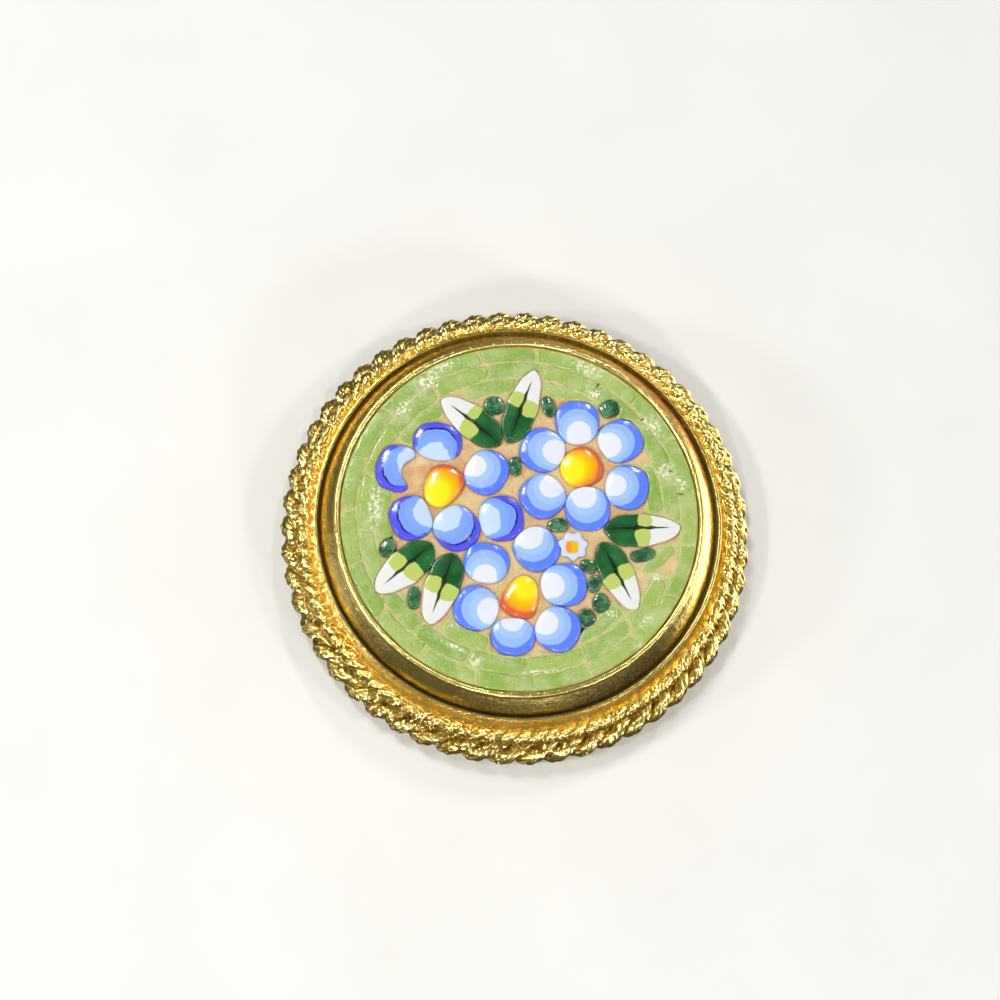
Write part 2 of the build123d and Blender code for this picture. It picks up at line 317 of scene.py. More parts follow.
# %% Dust group
dust_group, dust_in, dust_out = new_group(
    "Settled dust",
    [("Scale", FLOAT, 1.0), ("Amount", FLOAT, 0.5), ("Grain", FLOAT, 0.5)],
    [("Mask", FLOAT), ("Grains", FLOAT)],
)
dust_place = place_mm(dust_group)
dust_cloud = noise_at(dust_group, dust_place, dust_in["Scale"], 5.0, 0.6)
dust_edge = minus(dust_group, 0.86, times(dust_group, dust_in["Amount"], 0.6))
dust_start, dust_end = minus(dust_group, dust_edge, 0.16), plus(dust_group, dust_edge, 0.12)
dust_mask = soft_step(dust_group, dust_cloud, dust_start, dust_end)
dust_fine = noise_at(dust_group, dust_place, 9.0, 2.0, 0.7)
dust_grains = soft_step(dust_group, dust_fine, 0.58, 0.74)
feed(dust_group, dust_out.inputs["Mask"], dust_mask)
feed(dust_group, dust_out.inputs["Grains"], times(dust_group, dust_grains, dust_in["Grain"]))
print("group:", dust_group.name)

# %% Pits group
pits_group, pits_in, pits_out = new_group(
    "Glass pits",
    [("Scale", FLOAT, 4.0), ("Spread", FLOAT, 0.5)],
    [("Height", FLOAT)],
)
pits_place = place_mm(pits_group)
pits_cells = add_node(pits_group, "ShaderNodeTexVoronoi", feature="F1")
feed(pits_group, pits_cells.inputs["Vector"], pits_place)
feed(pits_group, pits_cells.inputs["Scale"], pits_in["Scale"])
pits_where = noise_at(pits_group, pits_place, 0.8, 3.0)
pits_limit = minus(pits_group, 0.8, times(pits_group, pits_in["Spread"], 0.5))
pits_mask = soft_step(pits_group, pits_where, pits_limit, plus(pits_group, pits_limit, 0.12))
pits_wave = noise_at(pits_group, pits_place, 2.2, 2.0)
pits_round = soft_step(pits_group, pits_cells.outputs["Distance"], 0.45, 0.05)
pits_dip = times(pits_group, pits_round, pits_mask)
feed(pits_group, pits_out.inputs["Height"], minus(pits_group, pits_wave, pits_dip))
print("group:", pits_group.name)

# %% [markdown]
# The petals are slices of a drawn cane, like a slice of rock candy: the picture goes
# right through the glass. Each slice shows a deep blue crescent at its outer side, a
# lighter blue body and a pale disc towards the flower's centre. The material draws
# those as circles in the slice's own coordinates, so their edges stay crisp at any
# distance. A little noise bends them, as a hand-pulled cane does.

# %% Cane group: nested, open-backed circles
cane_group, cane_in, cane_out = new_group(
    "Nested cane",
    [
        ("Outer Colour", COLOUR, screen(88, 122, 238)),
        ("Line Colour", COLOUR, screen(30, 30, 120)),
        ("Body Colour", COLOUR, screen(143, 176, 251)),
        ("Inner Colour", COLOUR, screen(156, 188, 251)),
        ("Disc Colour", COLOUR, screen(216, 220, 240)),
        ("Outer Width", FLOAT, 0.52),
        ("Body Radius", FLOAT, 1.24),
        ("Disc Depth", FLOAT, 1.40),
        ("Disc Radius", FLOAT, 0.76),
        ("Line Width", FLOAT, 0.0),
        ("Softness", FLOAT, 0.03),
        ("Bend", FLOAT, 0.10),
    ],
    [("Colour", COLOUR)],
)
cane_place = carried(cane_group, "cane")
cane_bend = add_node(cane_group, "ShaderNodeTexNoise", noise_dimensions="3D")
feed(cane_group, cane_bend.inputs["Vector"], cane_place)
cane_bend.inputs["Scale"].default_value = 1.1
cane_bend.inputs["Detail"].default_value = 2.0
cane_shift = add_node(cane_group, "ShaderNodeVectorMath", operation="SUBTRACT")
feed(cane_group, cane_shift.inputs[0], cane_bend.outputs["Color"])
cane_shift.inputs[1].default_value = (0.5, 0.5, 0.5)
cane_scaled = add_node(cane_group, "ShaderNodeVectorMath", operation="SCALE")
feed(cane_group, cane_scaled.inputs[0], cane_shift.outputs["Vector"])
feed(cane_group, cane_scaled.inputs["Scale"], times(cane_group, cane_in["Bend"], 2.0))
cane_bent = add_node(cane_group, "ShaderNodeVectorMath", operation="ADD")
feed(cane_group, cane_bent.inputs[0], cane_place)
feed(cane_group, cane_bent.inputs[1], cane_scaled.outputs["Vector"])
cane_depth, cane_across, _ = split(cane_group, cane_bent.outputs["Vector"])


def open_circle(front, radius):
    """Signed distance to a circle that starts at front and stays open behind its widest line."""
    behind_front = minus(cane_group, cane_depth, plus(cane_group, front, radius))
    ahead = calc(cane_group, "MINIMUM", behind_front, 0.0)
    return minus(cane_group, length_of(cane_group, ahead, cane_across), radius)


def halfway(first, second):
    """The mean of two of the group's inputs."""
    return times(cane_group, plus(cane_group, cane_in[first], cane_in[second]), 0.5)


body_distance = open_circle(cane_in["Outer Width"], cane_in["Body Radius"])
inner_distance = open_circle(halfway("Outer Width", "Disc Depth"), halfway("Body Radius", "Disc Radius"))
disc_distance = open_circle(cane_in["Disc Depth"], cane_in["Disc Radius"])
cane_soft = cane_in["Softness"]
cane_hard = times(cane_group, cane_soft, -1.0)
cane_colour = cane_in["Outer Colour"]
for distance, key in ((body_distance, "Body"), (inner_distance, "Inner"), (disc_distance, "Disc")):
    inside = soft_step(cane_group, distance, cane_soft, cane_hard)
    cane_colour = mix(cane_group, inside, cane_colour, cane_in[f"{key} Colour"])
line_half = times(cane_group, cane_in["Line Width"], 0.5)
line_core = times(cane_group, line_half, 0.3)
line_mask = soft_step(cane_group, unsigned(cane_group, body_distance), line_half, line_core)
line_front = soft_step(cane_group, cane_depth, plus(cane_group, cane_in["Body Radius"], 0.25), 0.55)
line_share = times(cane_group, line_mask, line_front)
cane_colour = mix(cane_group, line_share, cane_colour, cane_in["Line Colour"])
feed(cane_group, cane_out.inputs["Colour"], cane_colour)
print("group:", cane_group.name, "with", len(cane_group.nodes), "nodes")

# %% [markdown]
# Opaque glass has a hard shine over a deep colour. The Principled shader gives that with
# a low roughness and a thin clear coat. Every glass shares one recipe: the cane's
# colour, a veil of dust, and the pits as bump. A function builds it, and each glass
# gets its own values.

# %% Helper for a glass finish
def new_glass(name, coat, coat_roughness):
    """A material of opaque glass under a thin clear coat."""
    return new_material(name, Coat_Weight=coat, Coat_Roughness=coat_roughness, IOR=1.52)


def finish_glass(tree, shader, colour, dust, gloss, pits, depth, dust_colour=screen(205, 205, 190)):
    """Dust, gloss and pits over a colour."""
    veil = use_group(tree, dust_group, Scale=0.9, Amount=dust, Grain=0.6)
    veil_share = times(tree, veil["Mask"], 0.45)
    speck_share = times(tree, times(tree, veil["Mask"], veil["Grains"]), 0.9)
    veiled = mix(tree, veil_share, colour, dust_colour)
    feed(tree, shader.inputs["Base Color"], mix(tree, speck_share, veiled, screen(244, 242, 226)))
    feed(tree, shader.inputs["Roughness"], plus(tree, times(tree, veil["Mask"], 0.28), gloss))
    chips = use_group(tree, pits_group, Scale=4.5, Spread=pits)
    relief(tree, shader, chips["Height"], depth)


print("glass recipe ready")


# %% Petal glass, light and dark
light_petal, light_tree, light_shader = new_glass("petal glass light", 0.3, 0.08)
light_crescent, light_disc, _ = split(light_tree, carried(light_tree, "cane_size"))
light_cane = use_group(light_tree, cane_group, Outer_Width=light_crescent, Disc_Radius=light_disc)["Colour"]
finish_glass(light_tree, light_shader, light_cane, dust=0.2, gloss=0.2, pits=0.45, depth=0.022)

dark_petal, dark_tree, dark_shader = new_glass("petal glass dark", 0.3, 0.08)
dark_crescent, dark_disc, _ = split(dark_tree, carried(dark_tree, "cane_size"))
dark_cane = use_group(
    dark_tree,
    cane_group,
    Outer_Colour=screen(78, 80, 222),
    Line_Colour=screen(16, 14, 96),
    Body_Colour=screen(116, 152, 247),
    Inner_Colour=screen(124, 160, 248),
    Disc_Colour=screen(186, 208, 247),
    Outer_Width=dark_crescent,
    Body_Radius=1.26,
    Disc_Depth=1.42,
    Disc_Radius=dark_disc,
    Line_Width=0.17,
    Bend=0.26,
)["Colour"]
finish_glass(dark_tree, dark_shader, dark_cane, dust=0.2, gloss=0.2, pits=0.5, depth=0.022)
print("materials:", light_petal.name, dark_petal.name)

# %% [markdown]
# The flower centres are made from the same kind of cane in hot colours, a red crescent
# outside and yellow within. Their bands run into each other, so the same group is
# placed with a larger softness. The leaves need a pattern of their own: a white tip, a
# light green middle and a dark green base in two halves, with a dark midrib that
# swells wherever two colours meet.

# %% Flower centre glass
centre_glass, centre_tree, centre_shader = new_glass("flower centre glass", 0.5, 0.08)
centre_cane = use_group(
    centre_tree,
    cane_group,
    Outer_Colour=screen(204, 88, 44),
    Line_Colour=screen(204, 88, 44),
    Body_Colour=screen(244, 164, 0),
    Inner_Colour=screen(246, 190, 2),
    Disc_Colour=screen(242, 222, 24),
    Outer_Width=0.36,
    Body_Radius=1.12,
    Disc_Depth=1.12,
    Disc_Radius=0.82,
    Softness=0.20,
    Bend=0.14,
)["Colour"]
finish_glass(centre_tree, centre_shader, centre_cane, dust=0.1, gloss=0.22, pits=0.3, depth=0.012)
print("material:", centre_glass.name)

# %% Leaf group
leaf_group, leaf_in, leaf_out = new_group(
    "Leaf cane",
    [
        ("White Left", FLOAT, 0.38),
        ("Light Left", FLOAT, 0.60),
        ("White Right", FLOAT, 0.38),
        ("Light Right", FLOAT, 0.60),
    ],
    [("Colour", COLOUR)],
)
leaf_noise = noise_at(leaf_group, place_mm(leaf_group), 0.9, 3.0)
leaf_share, leaf_across, _ = split(leaf_group, carried(leaf_group, "leaf"))
leaf_share = plus(leaf_group, leaf_share, times(leaf_group, minus(leaf_group, leaf_noise, 0.5), 0.06))
leaf_width = unsigned(leaf_group, leaf_across)
on_left = soft_step(leaf_group, leaf_across, -0.02, 0.02)


def by_half(left, right):
    """The left half's number or the right half's."""
    difference = minus(leaf_group, leaf_in[left], leaf_in[right])
    return plus(leaf_group, leaf_in[right], times(leaf_group, difference, on_left))


leaf_bulge = times(leaf_group, unsigned(leaf_group, minus(leaf_group, leaf_width, 0.45)), 0.05)
white_end = plus(leaf_group, by_half("White Left", "White Right"), leaf_bulge)
light_end = minus(leaf_group, by_half("Light Left", "Light Right"), leaf_bulge)
from_white = minus(leaf_group, leaf_share, white_end)
from_light = minus(leaf_group, leaf_share, light_end)
past_white = soft_step(leaf_group, from_white, -0.006, 0.006)
past_light = soft_step(leaf_group, from_light, -0.008, 0.008)
green_cloud = soft_step(leaf_group, leaf_noise, 0.30, 0.70)
green_shade = mix(leaf_group, green_cloud, screen(18, 76, 34), screen(34, 104, 50))
rib_shadow = soft_step(leaf_group, leaf_width, 0.42, 0.08, 0.0, 0.5)
green_shade = mix(leaf_group, rib_shadow, green_shade, screen(8, 44, 18))
leaf_colour = mix(leaf_group, past_white, screen(218, 218, 216), screen(178, 192, 100))
leaf_colour = mix(leaf_group, past_light, leaf_colour, green_shade)
rib_grow = soft_step(leaf_group, leaf_share, 0.06, 0.42, 0.02, 0.07)
swell_white = soft_step(leaf_group, unsigned(leaf_group, from_white), 0.08, 0.0, 0.0, 0.055)
swell_light = soft_step(leaf_group, unsigned(leaf_group, from_light), 0.09, 0.0, 0.0, 0.09)
rib_fade = soft_step(leaf_group, leaf_share, 0.70, 1.0, 0.0, 0.07)
rib_half = plus(leaf_group, rib_grow, plus(leaf_group, swell_white, swell_light))
rib_half = minus(leaf_group, rib_half, rib_fade)
rib_mask = soft_step(leaf_group, minus(leaf_group, leaf_width, rib_half), 0.025, -0.025)
rib_tip = soft_step(leaf_group, leaf_share, 0.10, 0.22)
rib_colour = mix(leaf_group, past_light, screen(52, 56, 34), screen(8, 34, 12))
leaf_colour = mix(leaf_group, times(leaf_group, rib_mask, rib_tip), leaf_colour, rib_colour)
feed(leaf_group, leaf_out.inputs["Colour"], leaf_colour)
print("group:", leaf_group.name)

# %% [markdown]
# No two leaves are cut alike. A small table gives, for each leaf, where its white
# and its light green end on either side of the midrib, as shares of its length from the
# tip. Each leaf then has a material of its own that places the group with those values.

# %% Leaf glass for each leaf
LeafCane = namedtuple(
    "LeafCane", "node tip_x tip_y base_x base_y white_left light_left white_right light_right"
)
LEAF_CANES = [
    LeafCane("leaf_top_left", -4.88, 7.42, -1.26, 4.55, 0.39, 0.55, 0.41, 0.68),
    LeafCane("leaf_top", 0.98, 9.44, -0.70, 4.68, 0.40, 0.62, 0.33, 0.55),
    LeafCane("leaf_right", 9.92, -0.72, 5.25, -0.86, 0.39, 0.61, 0.36, 0.56),
    LeafCane("leaf_lower_right", 7.06, -5.92, 5.08, -1.90, 0.36, 0.58, 0.41, 0.64),
    LeafCane("leaf_lower_left", -8.72, -5.05, -5.42, -2.04, 0.36, 0.60, 0.43, 0.67),
    LeafCane("leaf_bottom_left", -5.52, -7.00, -4.08, -2.60, 0.41, 0.63, 0.345, 0.58),
]
leaf_materials = {}
for row in LEAF_CANES:
    material, tree, shader = new_glass(f"glass of {row.node}", 0.35, 0.1)
    cane = use_group(
        tree,
        leaf_group,
        White_Left=row.white_left,
        Light_Left=row.light_left,
        White_Right=row.white_right,
        Light_Right=row.light_right,
    )["Colour"]
    finish_glass(tree, shader, cane, dust=0.08, gloss=0.26, pits=0.3, depth=0.008)
    leaf_materials[row.node] = material
print("leaf materials:", len(leaf_materials))

# %% [markdown]
# Three plain glasses remain. The small white flower has a squarish centre, orange on one
# side and yellow on the other. The dots are dark bottle green, chipped and
# sparkling. The field is a soft spring green that differs from stone to stone, and it
# carries the most dust, because its stones were rubbed down with the grout.

# %% Small flower, dots and field
small_glass, small_tree, small_shader = new_glass("small flower glass", 0.35, 0.1)
small_x, small_y, _ = split(small_tree, carried(small_tree, "cane"))
small_square = calc(small_tree, "MAXIMUM", unsigned(small_tree, small_x), unsigned(small_tree, small_y))
small_round = length_of(small_tree, small_x, small_y)
small_edge = plus(small_tree, times(small_tree, small_square, 0.6), times(small_tree, small_round, 0.4))
small_cloud = noise_at(small_tree, place_mm(small_tree), 2.0)
small_white = mix(small_tree, small_cloud, screen(172, 188, 214), screen(222, 228, 238))
small_side = soft_step(small_tree, small_x, -0.18, 0.14)
small_heart = mix(small_tree, small_side, screen(232, 142, 48), screen(218, 176, 30))
small_colour = mix(small_tree, soft_step(small_tree, small_edge, 0.46, 0.33), small_white, small_heart)
finish_glass(small_tree, small_shader, small_colour, dust=0.2, gloss=0.25, pits=0.5, depth=0.012)

dot_glass, dot_tree, dot_shader = new_glass("dark green glass", 0.6, 0.06)
dot_place = place_mm(dot_tree)
dot_cloud = soft_step(dot_tree, noise_at(dot_tree, dot_place, 1.8, 3.0, 0.6), 0.32, 0.68)
dot_colour = mix(dot_tree, dot_cloud, screen(14, 70, 38), screen(66, 120, 78))
dot_dust = screen(138, 166, 130)
finish_glass(dot_tree, dot_shader, dot_colour, 0.32, gloss=0.08, pits=1.0, depth=0.07, dust_colour=dot_dust)

field_glass, field_tree, field_shader = new_glass("field glass", 0.3, 0.12)
field_place = place_mm(field_tree)
field_tint = carried(field_tree, "tint", "Fac")
field_colour = mix(field_tree, field_tint, screen(126, 160, 68), screen(154, 176, 88))
field_cloud = soft_step(field_tree, noise_at(field_tree, field_place, 0.7, 3.0), 0.35, 0.75, 0.0, 0.6)
field_colour = mix(field_tree, field_cloud, field_colour, screen(168, 182, 110))
# White specks in the charted dust patches: pale dust, and painted glints of broken glass.
field_sand = noise_at(field_tree, field_place, 5.0, 3.0, 0.7)
field_painted_glints = soft_step(field_tree, field_sand, 0.50, 0.58, 0.1, 1.5)
field_dust_and_glints = times(field_tree, carried(field_tree, "dust_and_glints", "Fac"), field_painted_glints)
field_colour = mix(field_tree, field_dust_and_glints, field_colour, screen(236, 238, 210))
field_dust = screen(184, 190, 136)
finish_glass(
    field_tree, field_shader, field_colour, 0.42, gloss=0.22, pits=0.9, depth=0.035, dust_colour=field_dust
)
print("materials:", small_glass.name, dot_glass.name, field_glass.name)

# %% [markdown]
# The grout is a fine tan cement. Rubbing the mosaic down has filled the joints of the
# field with green glass dust, so it is greener there and tan round the flowers. The
# narrow moats round the petals are painted darker as shade, the crevices near-black as
# shade, and the charted dust patches carry painted glints. The mesh carries those
# shares, and the material adds grain, stains and a sandy bump. Its colour is built in
# layers, each laid over the ones before it with a mask of its own.

# %% Grout
grout_matter, grout_tree, grout_shader = new_material("grout", Specular_IOR_Level=0.3)
grout_place = place_mm(grout_tree)
grout_cloud = noise_at(grout_tree, grout_place, 0.9, 4.0)
grout_sand = noise_at(grout_tree, grout_place, 5.0, 4.0, 0.75)
grout_green = mix(grout_tree, grout_cloud, screen(164, 180, 94), screen(192, 196, 132))
pale_grains = soft_step(grout_tree, grout_sand, 0.56, 0.74, 0.0, 0.6)
dark_grains = soft_step(grout_tree, grout_sand, 0.44, 0.26, 0.0, 0.55)
moat_sand = soft_step(grout_tree, grout_sand, 0.25, 0.65, 0.4, 1.0)
# Painted shade in the moats round the motifs, broken up by the sand.
moat_painted_shade = times(grout_tree, carried(grout_tree, "moat", "Fac"), moat_sand)
# Pale dust in the charted patches of the grout, with painted glints.
dusty_sand = soft_step(grout_tree, grout_sand, 0.42, 0.6)
pale_dust_and_glints = times(grout_tree, carried(grout_tree, "dust_and_glints", "Fac"), dusty_sand)
grout_stain = soft_step(grout_tree, noise_at(grout_tree, grout_place, 0.6, 4.0, 0.6), 0.48, 0.64, 0.0, 0.7)
grout_colour = mix(grout_tree, grout_cloud, screen(204, 160, 108), screen(222, 204, 152))
for mask, layer in (
    (grout_stain, screen(202, 144, 98)),
    (carried(grout_tree, "green_dust", "Fac"), grout_green),
    (pale_grains, screen(236, 222, 190)),
    (dark_grains, screen(140, 104, 62)),
    (moat_painted_shade, screen(96, 72, 46)),
    (pale_dust_and_glints, screen(244, 242, 222)),
    # Near-black painted shade in the crevices.
    (carried(grout_tree, "crevice", "Fac"), screen(38, 34, 18)),
):
    grout_colour = mix(grout_tree, mask, grout_colour, layer)
feed(grout_tree, grout_shader.inputs["Base Color"], grout_colour)
feed(grout_tree, grout_shader.inputs["Roughness"], soft_step(grout_tree, grout_sand, 0.3, 0.8, 0.6, 0.9))
relief(grout_tree, grout_shader, plus(grout_tree, grout_sand, grout_cloud), 0.10)
print("material:", grout_matter.name)

# %% [markdown]
# The metal is brass with a bright gilding. Close up it is never an even mirror: it has
# hairline scratches, soft clouds where it was rubbed, dimples, an orange patch that is a
# painted reflection, and brown tarnish down in the hollows, which is partly painted
# shade. On the setting the same brown also paints shade in the groove and low on the
# bezel's wall, and dark reflections round that wall. The ropes also have tiny beads,
# which show most at the lower left. One group gives all of that, and the setting, the
# ropes and the pin fitting place it with their own values. The mesh says where the
# tarnish and painted shade, the painted orange reflection and the beads are.

# %% Gilding group
gilt_group, gilt_in, gilt_out = new_group(
    "Worn gilding",
    [
        ("Bright Colour", COLOUR, screen(255, 236, 156)),
        ("Deep Colour", COLOUR, screen(250, 218, 112)),
        ("Tarnish Colour", COLOUR, screen(56, 42, 22)),
        ("Polish", FLOAT, 0.12),
        ("Dimples", FLOAT, 0.0),
        ("Tarnish", FLOAT, 0.6),
        ("Scratches", FLOAT, 0.5),
    ],
    [("Colour", COLOUR), ("Roughness", FLOAT), ("Height", FLOAT)],
)
gilt_place = place_mm(gilt_group)
gilt_cloud = noise_at(gilt_group, gilt_place, 0.55, 5.0, 0.6)
gilt_fine = noise_at(gilt_group, gilt_place, 6.0, 4.0, 0.65)
gilt_stretch = add_node(gilt_group, "ShaderNodeMapping")
feed(gilt_group, gilt_stretch.inputs["Vector"], gilt_place)
gilt_stretch.inputs["Rotation"].default_value = (0.3, 0.2, 0.7)
gilt_stretch.inputs["Scale"].default_value = (1.0, 14.0, 6.0)
gilt_lines = noise_at(gilt_group, gilt_stretch.outputs["Vector"], 1.2, 3.0, 0.6)
gilt_base = mix(gilt_group, gilt_cloud, gilt_in["Deep Colour"], gilt_in["Bright Colour"])
# Painted reflection: an orange patch, in spots, on the bezel's wall where the chart puts it.
orange_reflection_spots = soft_step(gilt_group, gilt_fine, 0.42, 0.58)
gilt_orange_reflection = times(gilt_group, carried(gilt_group, "warm", "Fac"), orange_reflection_spots)
gilt_base = mix(gilt_group, gilt_orange_reflection, gilt_base, screen(255, 160, 56))
# The carried share darkens the gilding: tarnish in the hollows, partly painted shade, and on the setting
# also painted shade in the groove and painted dark reflections on the wall.
tarnish_grain = times(gilt_group, minus(gilt_group, gilt_fine, 0.5), 0.7)
tarnish_and_shade_edge = plus(gilt_group, carried(gilt_group, "tarnish_and_shade", "Fac"), tarnish_grain)
tarnish_and_shade_mask = times(gilt_group, soft_step(gilt_group, tarnish_and_shade_edge, 0.35, 0.95), gilt_in["Tarnish"])
gilt_colour = mix(gilt_group, tarnish_and_shade_mask, gilt_base, gilt_in["Tarnish Colour"])
feed(gilt_group, gilt_out.inputs["Colour"], gilt_colour)
gilt_rough = plus(gilt_group, gilt_in["Polish"], times(gilt_group, gilt_cloud, 0.14))
gilt_rough = plus(gilt_group, gilt_rough, times(gilt_group, tarnish_and_shade_mask, 0.3))
feed(gilt_group, gilt_out.inputs["Roughness"], gilt_rough)
gilt_cells = add_node(gilt_group, "ShaderNodeTexVoronoi", feature="F1")
feed(gilt_group, gilt_cells.inputs["Vector"], gilt_place)
gilt_cells.inputs["Scale"].default_value = 5.5
bead_dome = soft_step(gilt_group, gilt_cells.outputs["Distance"], 0.5, 0.05)
bead_share = times(gilt_group, bead_dome, carried(gilt_group, "beads", "Fac"))
gilt_height = times(gilt_group, soft_step(gilt_group, gilt_lines, 0.35, 0.65), gilt_in["Scratches"])
for layer, weight in (
    (gilt_fine, 0.8),
    (noise_at(gilt_group, gilt_place, 2.6, 2.0), gilt_in["Dimples"]),
    (bead_share, 26.0),
):
    gilt_height = plus(gilt_group, gilt_height, times(gilt_group, layer, weight))
feed(gilt_group, gilt_out.inputs["Height"], gilt_height)
print("group:", gilt_group.name)


# %% Gilt setting and pin brass
def finish_gilt(tree, shader, depth, **values):
    gilding = use_group(tree, gilt_group, **values)
    feed(tree, shader.inputs["Base Color"], gilding["Colour"])
    feed(tree, shader.inputs["Roughness"], gilding["Roughness"])
    relief(tree, shader, gilding["Height"], depth)


setting_gilt, gilt_tree, gilt_shader = new_material("gilt setting", Metallic=1.0)
# On the setting this tarnish share also paints shade and dark reflections.
finish_gilt(gilt_tree, gilt_shader, 0.008, Tarnish=0.9, Dimples=5.0)
rope_gilt, rope_tree, rope_shader = new_material("gilt rope", Metallic=1.0)
finish_gilt(rope_tree, rope_shader, 0.003, Polish=0.04, Tarnish=0.6)
pin_brass, pin_tree, pin_shader = new_material("pin brass", Metallic=1.0)
pin_bright, pin_deep = screen(240, 204, 120), screen(206, 160, 78)
finish_gilt(pin_tree, pin_shader, 0.012, Bright_Colour=pin_bright, Deep_Colour=pin_deep, Polish=0.24)
print("materials:", setting_gilt.name, rope_gilt.name, pin_brass.name)

# %% [markdown]
# Now the shapes. The outline of each glass slice comes from the frame: its lowest face is
# flat, and the edges that only one triangle of it uses run round its rim. Joined end
# to end they give the outline, and a node with many loose slices gives many of them.

# %% Read outlines from the frame
def outlines(node):
    """Closed outlines of a node's lowest faces, in millimetres, anticlockwise."""
    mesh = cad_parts[node].data
    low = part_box(node)[0].z
    keys = [tuple(round(c / MM, 4) for c in v.co) for v in mesh.vertices]
    count = defaultdict(int)
    for face in mesh.polygons:
        corners = [keys[i] for i in face.vertices]
        if all(abs(c[2] - low / MM) < 0.01 for c in corners):
            for a, b in zip(corners, corners[1:] + corners[:1]):
                count[(a, b)] += 1
    ahead = {a: b for (a, b) in count if (b, a) not in count}
    loops = []
    while ahead:
        start, point = next(iter(ahead.items()))
        loop = [start]
        del ahead[start]
        while point != start:
            loop.append(point)
            point = ahead.pop(point)
        loop = np.array(loop)[:, :2]
        x, y = loop[:, 0], loop[:, 1]
        area = 0.5 * float(np.sum(x * np.roll(y, -1) - y * np.roll(x, -1)))
        loops.append(loop if area > 0 else loop[::-1])
    return loops


slice_nodes = [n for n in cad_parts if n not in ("setting", "brooch_pin", "grout_bed")]
slice_outlines = {n: outlines(n) for n in sorted(slice_nodes)}
print("slices:", sum(len(loops) for loops in slice_outlines.values()), "in", len(slice_nodes), "nodes")

# %% [markdown]
# A cut slice of glass isn't a sharp prism. Its corners are nipped off, its rim is rounded
# by grinding, and its face stands up like a small pillow. Subdividing a block would
# lose the outline, so the face is triangulated inside the true outline: rings of points
# follow the rim closely, and a honeycomb of points fills the middle. Each
# point's height then follows from its distance to the rim.

# %% Work along an outline
def resample(loop, step):
    """The same outline with points an even step apart."""
    closed = np.vstack([loop, loop[:1]])
    runs = np.hypot(*np.diff(closed, axis=0).T)
    along = np.concatenate([[0], np.cumsum(runs)])
    count = max(16, int(ceil(along[-1] / step)))
    at = np.linspace(0, along[-1], count, endpoint=False)
    return np.column_stack([np.interp(at, along, closed[:, k]) for k in (0, 1)])


def soften(loop, step, reach):
    """Rounds an outline's corners by averaging over a reach to either side."""
    span = int(3 * reach / step) + 1
    weights = np.exp(-0.5 * (np.arange(-span, span + 1) * step / reach) ** 2)
    weights /= weights.sum()
    soft = np.zeros_like(loop)
    for offset, weight in zip(range(-span, span + 1), weights):
        soft += weight * np.roll(loop, offset, axis=0)
    return soft


def outward(loop):
    """Unit normals of an anticlockwise outline."""
    run = np.roll(loop, -1, axis=0) - np.roll(loop, 1, axis=0)
    run /= np.maximum(np.hypot(run[:, 0], run[:, 1]), 1e-9)[:, None]
    return np.column_stack([run[:, 1], -run[:, 0]])


def rim_distance(points, loop):
    """Each point's distance to the outline, negative outside it."""
    a, b = loop, np.roll(loop, -1, axis=0)
    run = b - a
    square = np.maximum((run**2).sum(1), 1e-12)
    rel = points[:, None, :] - a[None, :, :]
    share = np.clip((rel * run[None]).sum(2) / square, 0, 1)
    gap = rel - share[..., None] * run[None]
    nearest = np.sqrt((gap**2).sum(2)).min(1)
    crosses = (a[None, :, 1] > points[:, None, 1]) != (b[None, :, 1] > points[:, None, 1])
    rise = np.where(np.abs(run[:, 1]) < 1e-12, 1e-12, run[:, 1])
    x_cut = a[None, :, 0] + (points[:, None, 1] - a[None, :, 1]) * (run[:, 0] / rise)[None]
    inside = (crosses & (points[:, None, 0] < x_cut)).sum(1) % 2 == 1
    return np.where(inside, nearest, -nearest)


print("outline helpers ready")


# %% Fill an outline
def honeycomb(low, high, cell):
    """Points of a honeycomb that fills the box from one corner to the other."""
    rows = np.arange(low[1], high[1], cell * sqrt(3) / 2)
    columns = np.arange(low[0], high[0] + cell, cell)
    return np.array([(x + (k % 2) * cell / 2, y) for k, y in enumerate(rows) for x in columns])


def lumps(x, y, scale, layer):
    """Smooth noise over the plane, from about -1 to 1. Each layer has a pattern of its own."""
    return noise.noise(Vector((x * scale, y * scale, layer)))


def triangulated(flat, rim_count, merge):
    """Triangles inside the closed line of the first points: (points, faces that look up)."""
    vectors = [Vector(p) for p in flat.tolist()]
    made = geometry.delaunay_2d_cdt(vectors, [], [list(range(rim_count))], 1, merge)
    points = np.array([tuple(v) for v in made[0]])
    faces = []
    for f in made[2]:
        (ax, ay), (bx, by), (cx, cy) = (points[i] for i in f)
        turns_left = (bx - ax) * (cy - ay) - (by - ay) * (cx - ax) > 0
        faces.append(list(f) if turns_left else list(f)[::-1])
    return points, faces


print("filling helpers ready")


# %% Make one pillowed slice
Pillow = namedtuple("Pillow", "grow corner rim crown top tilt wave cell")


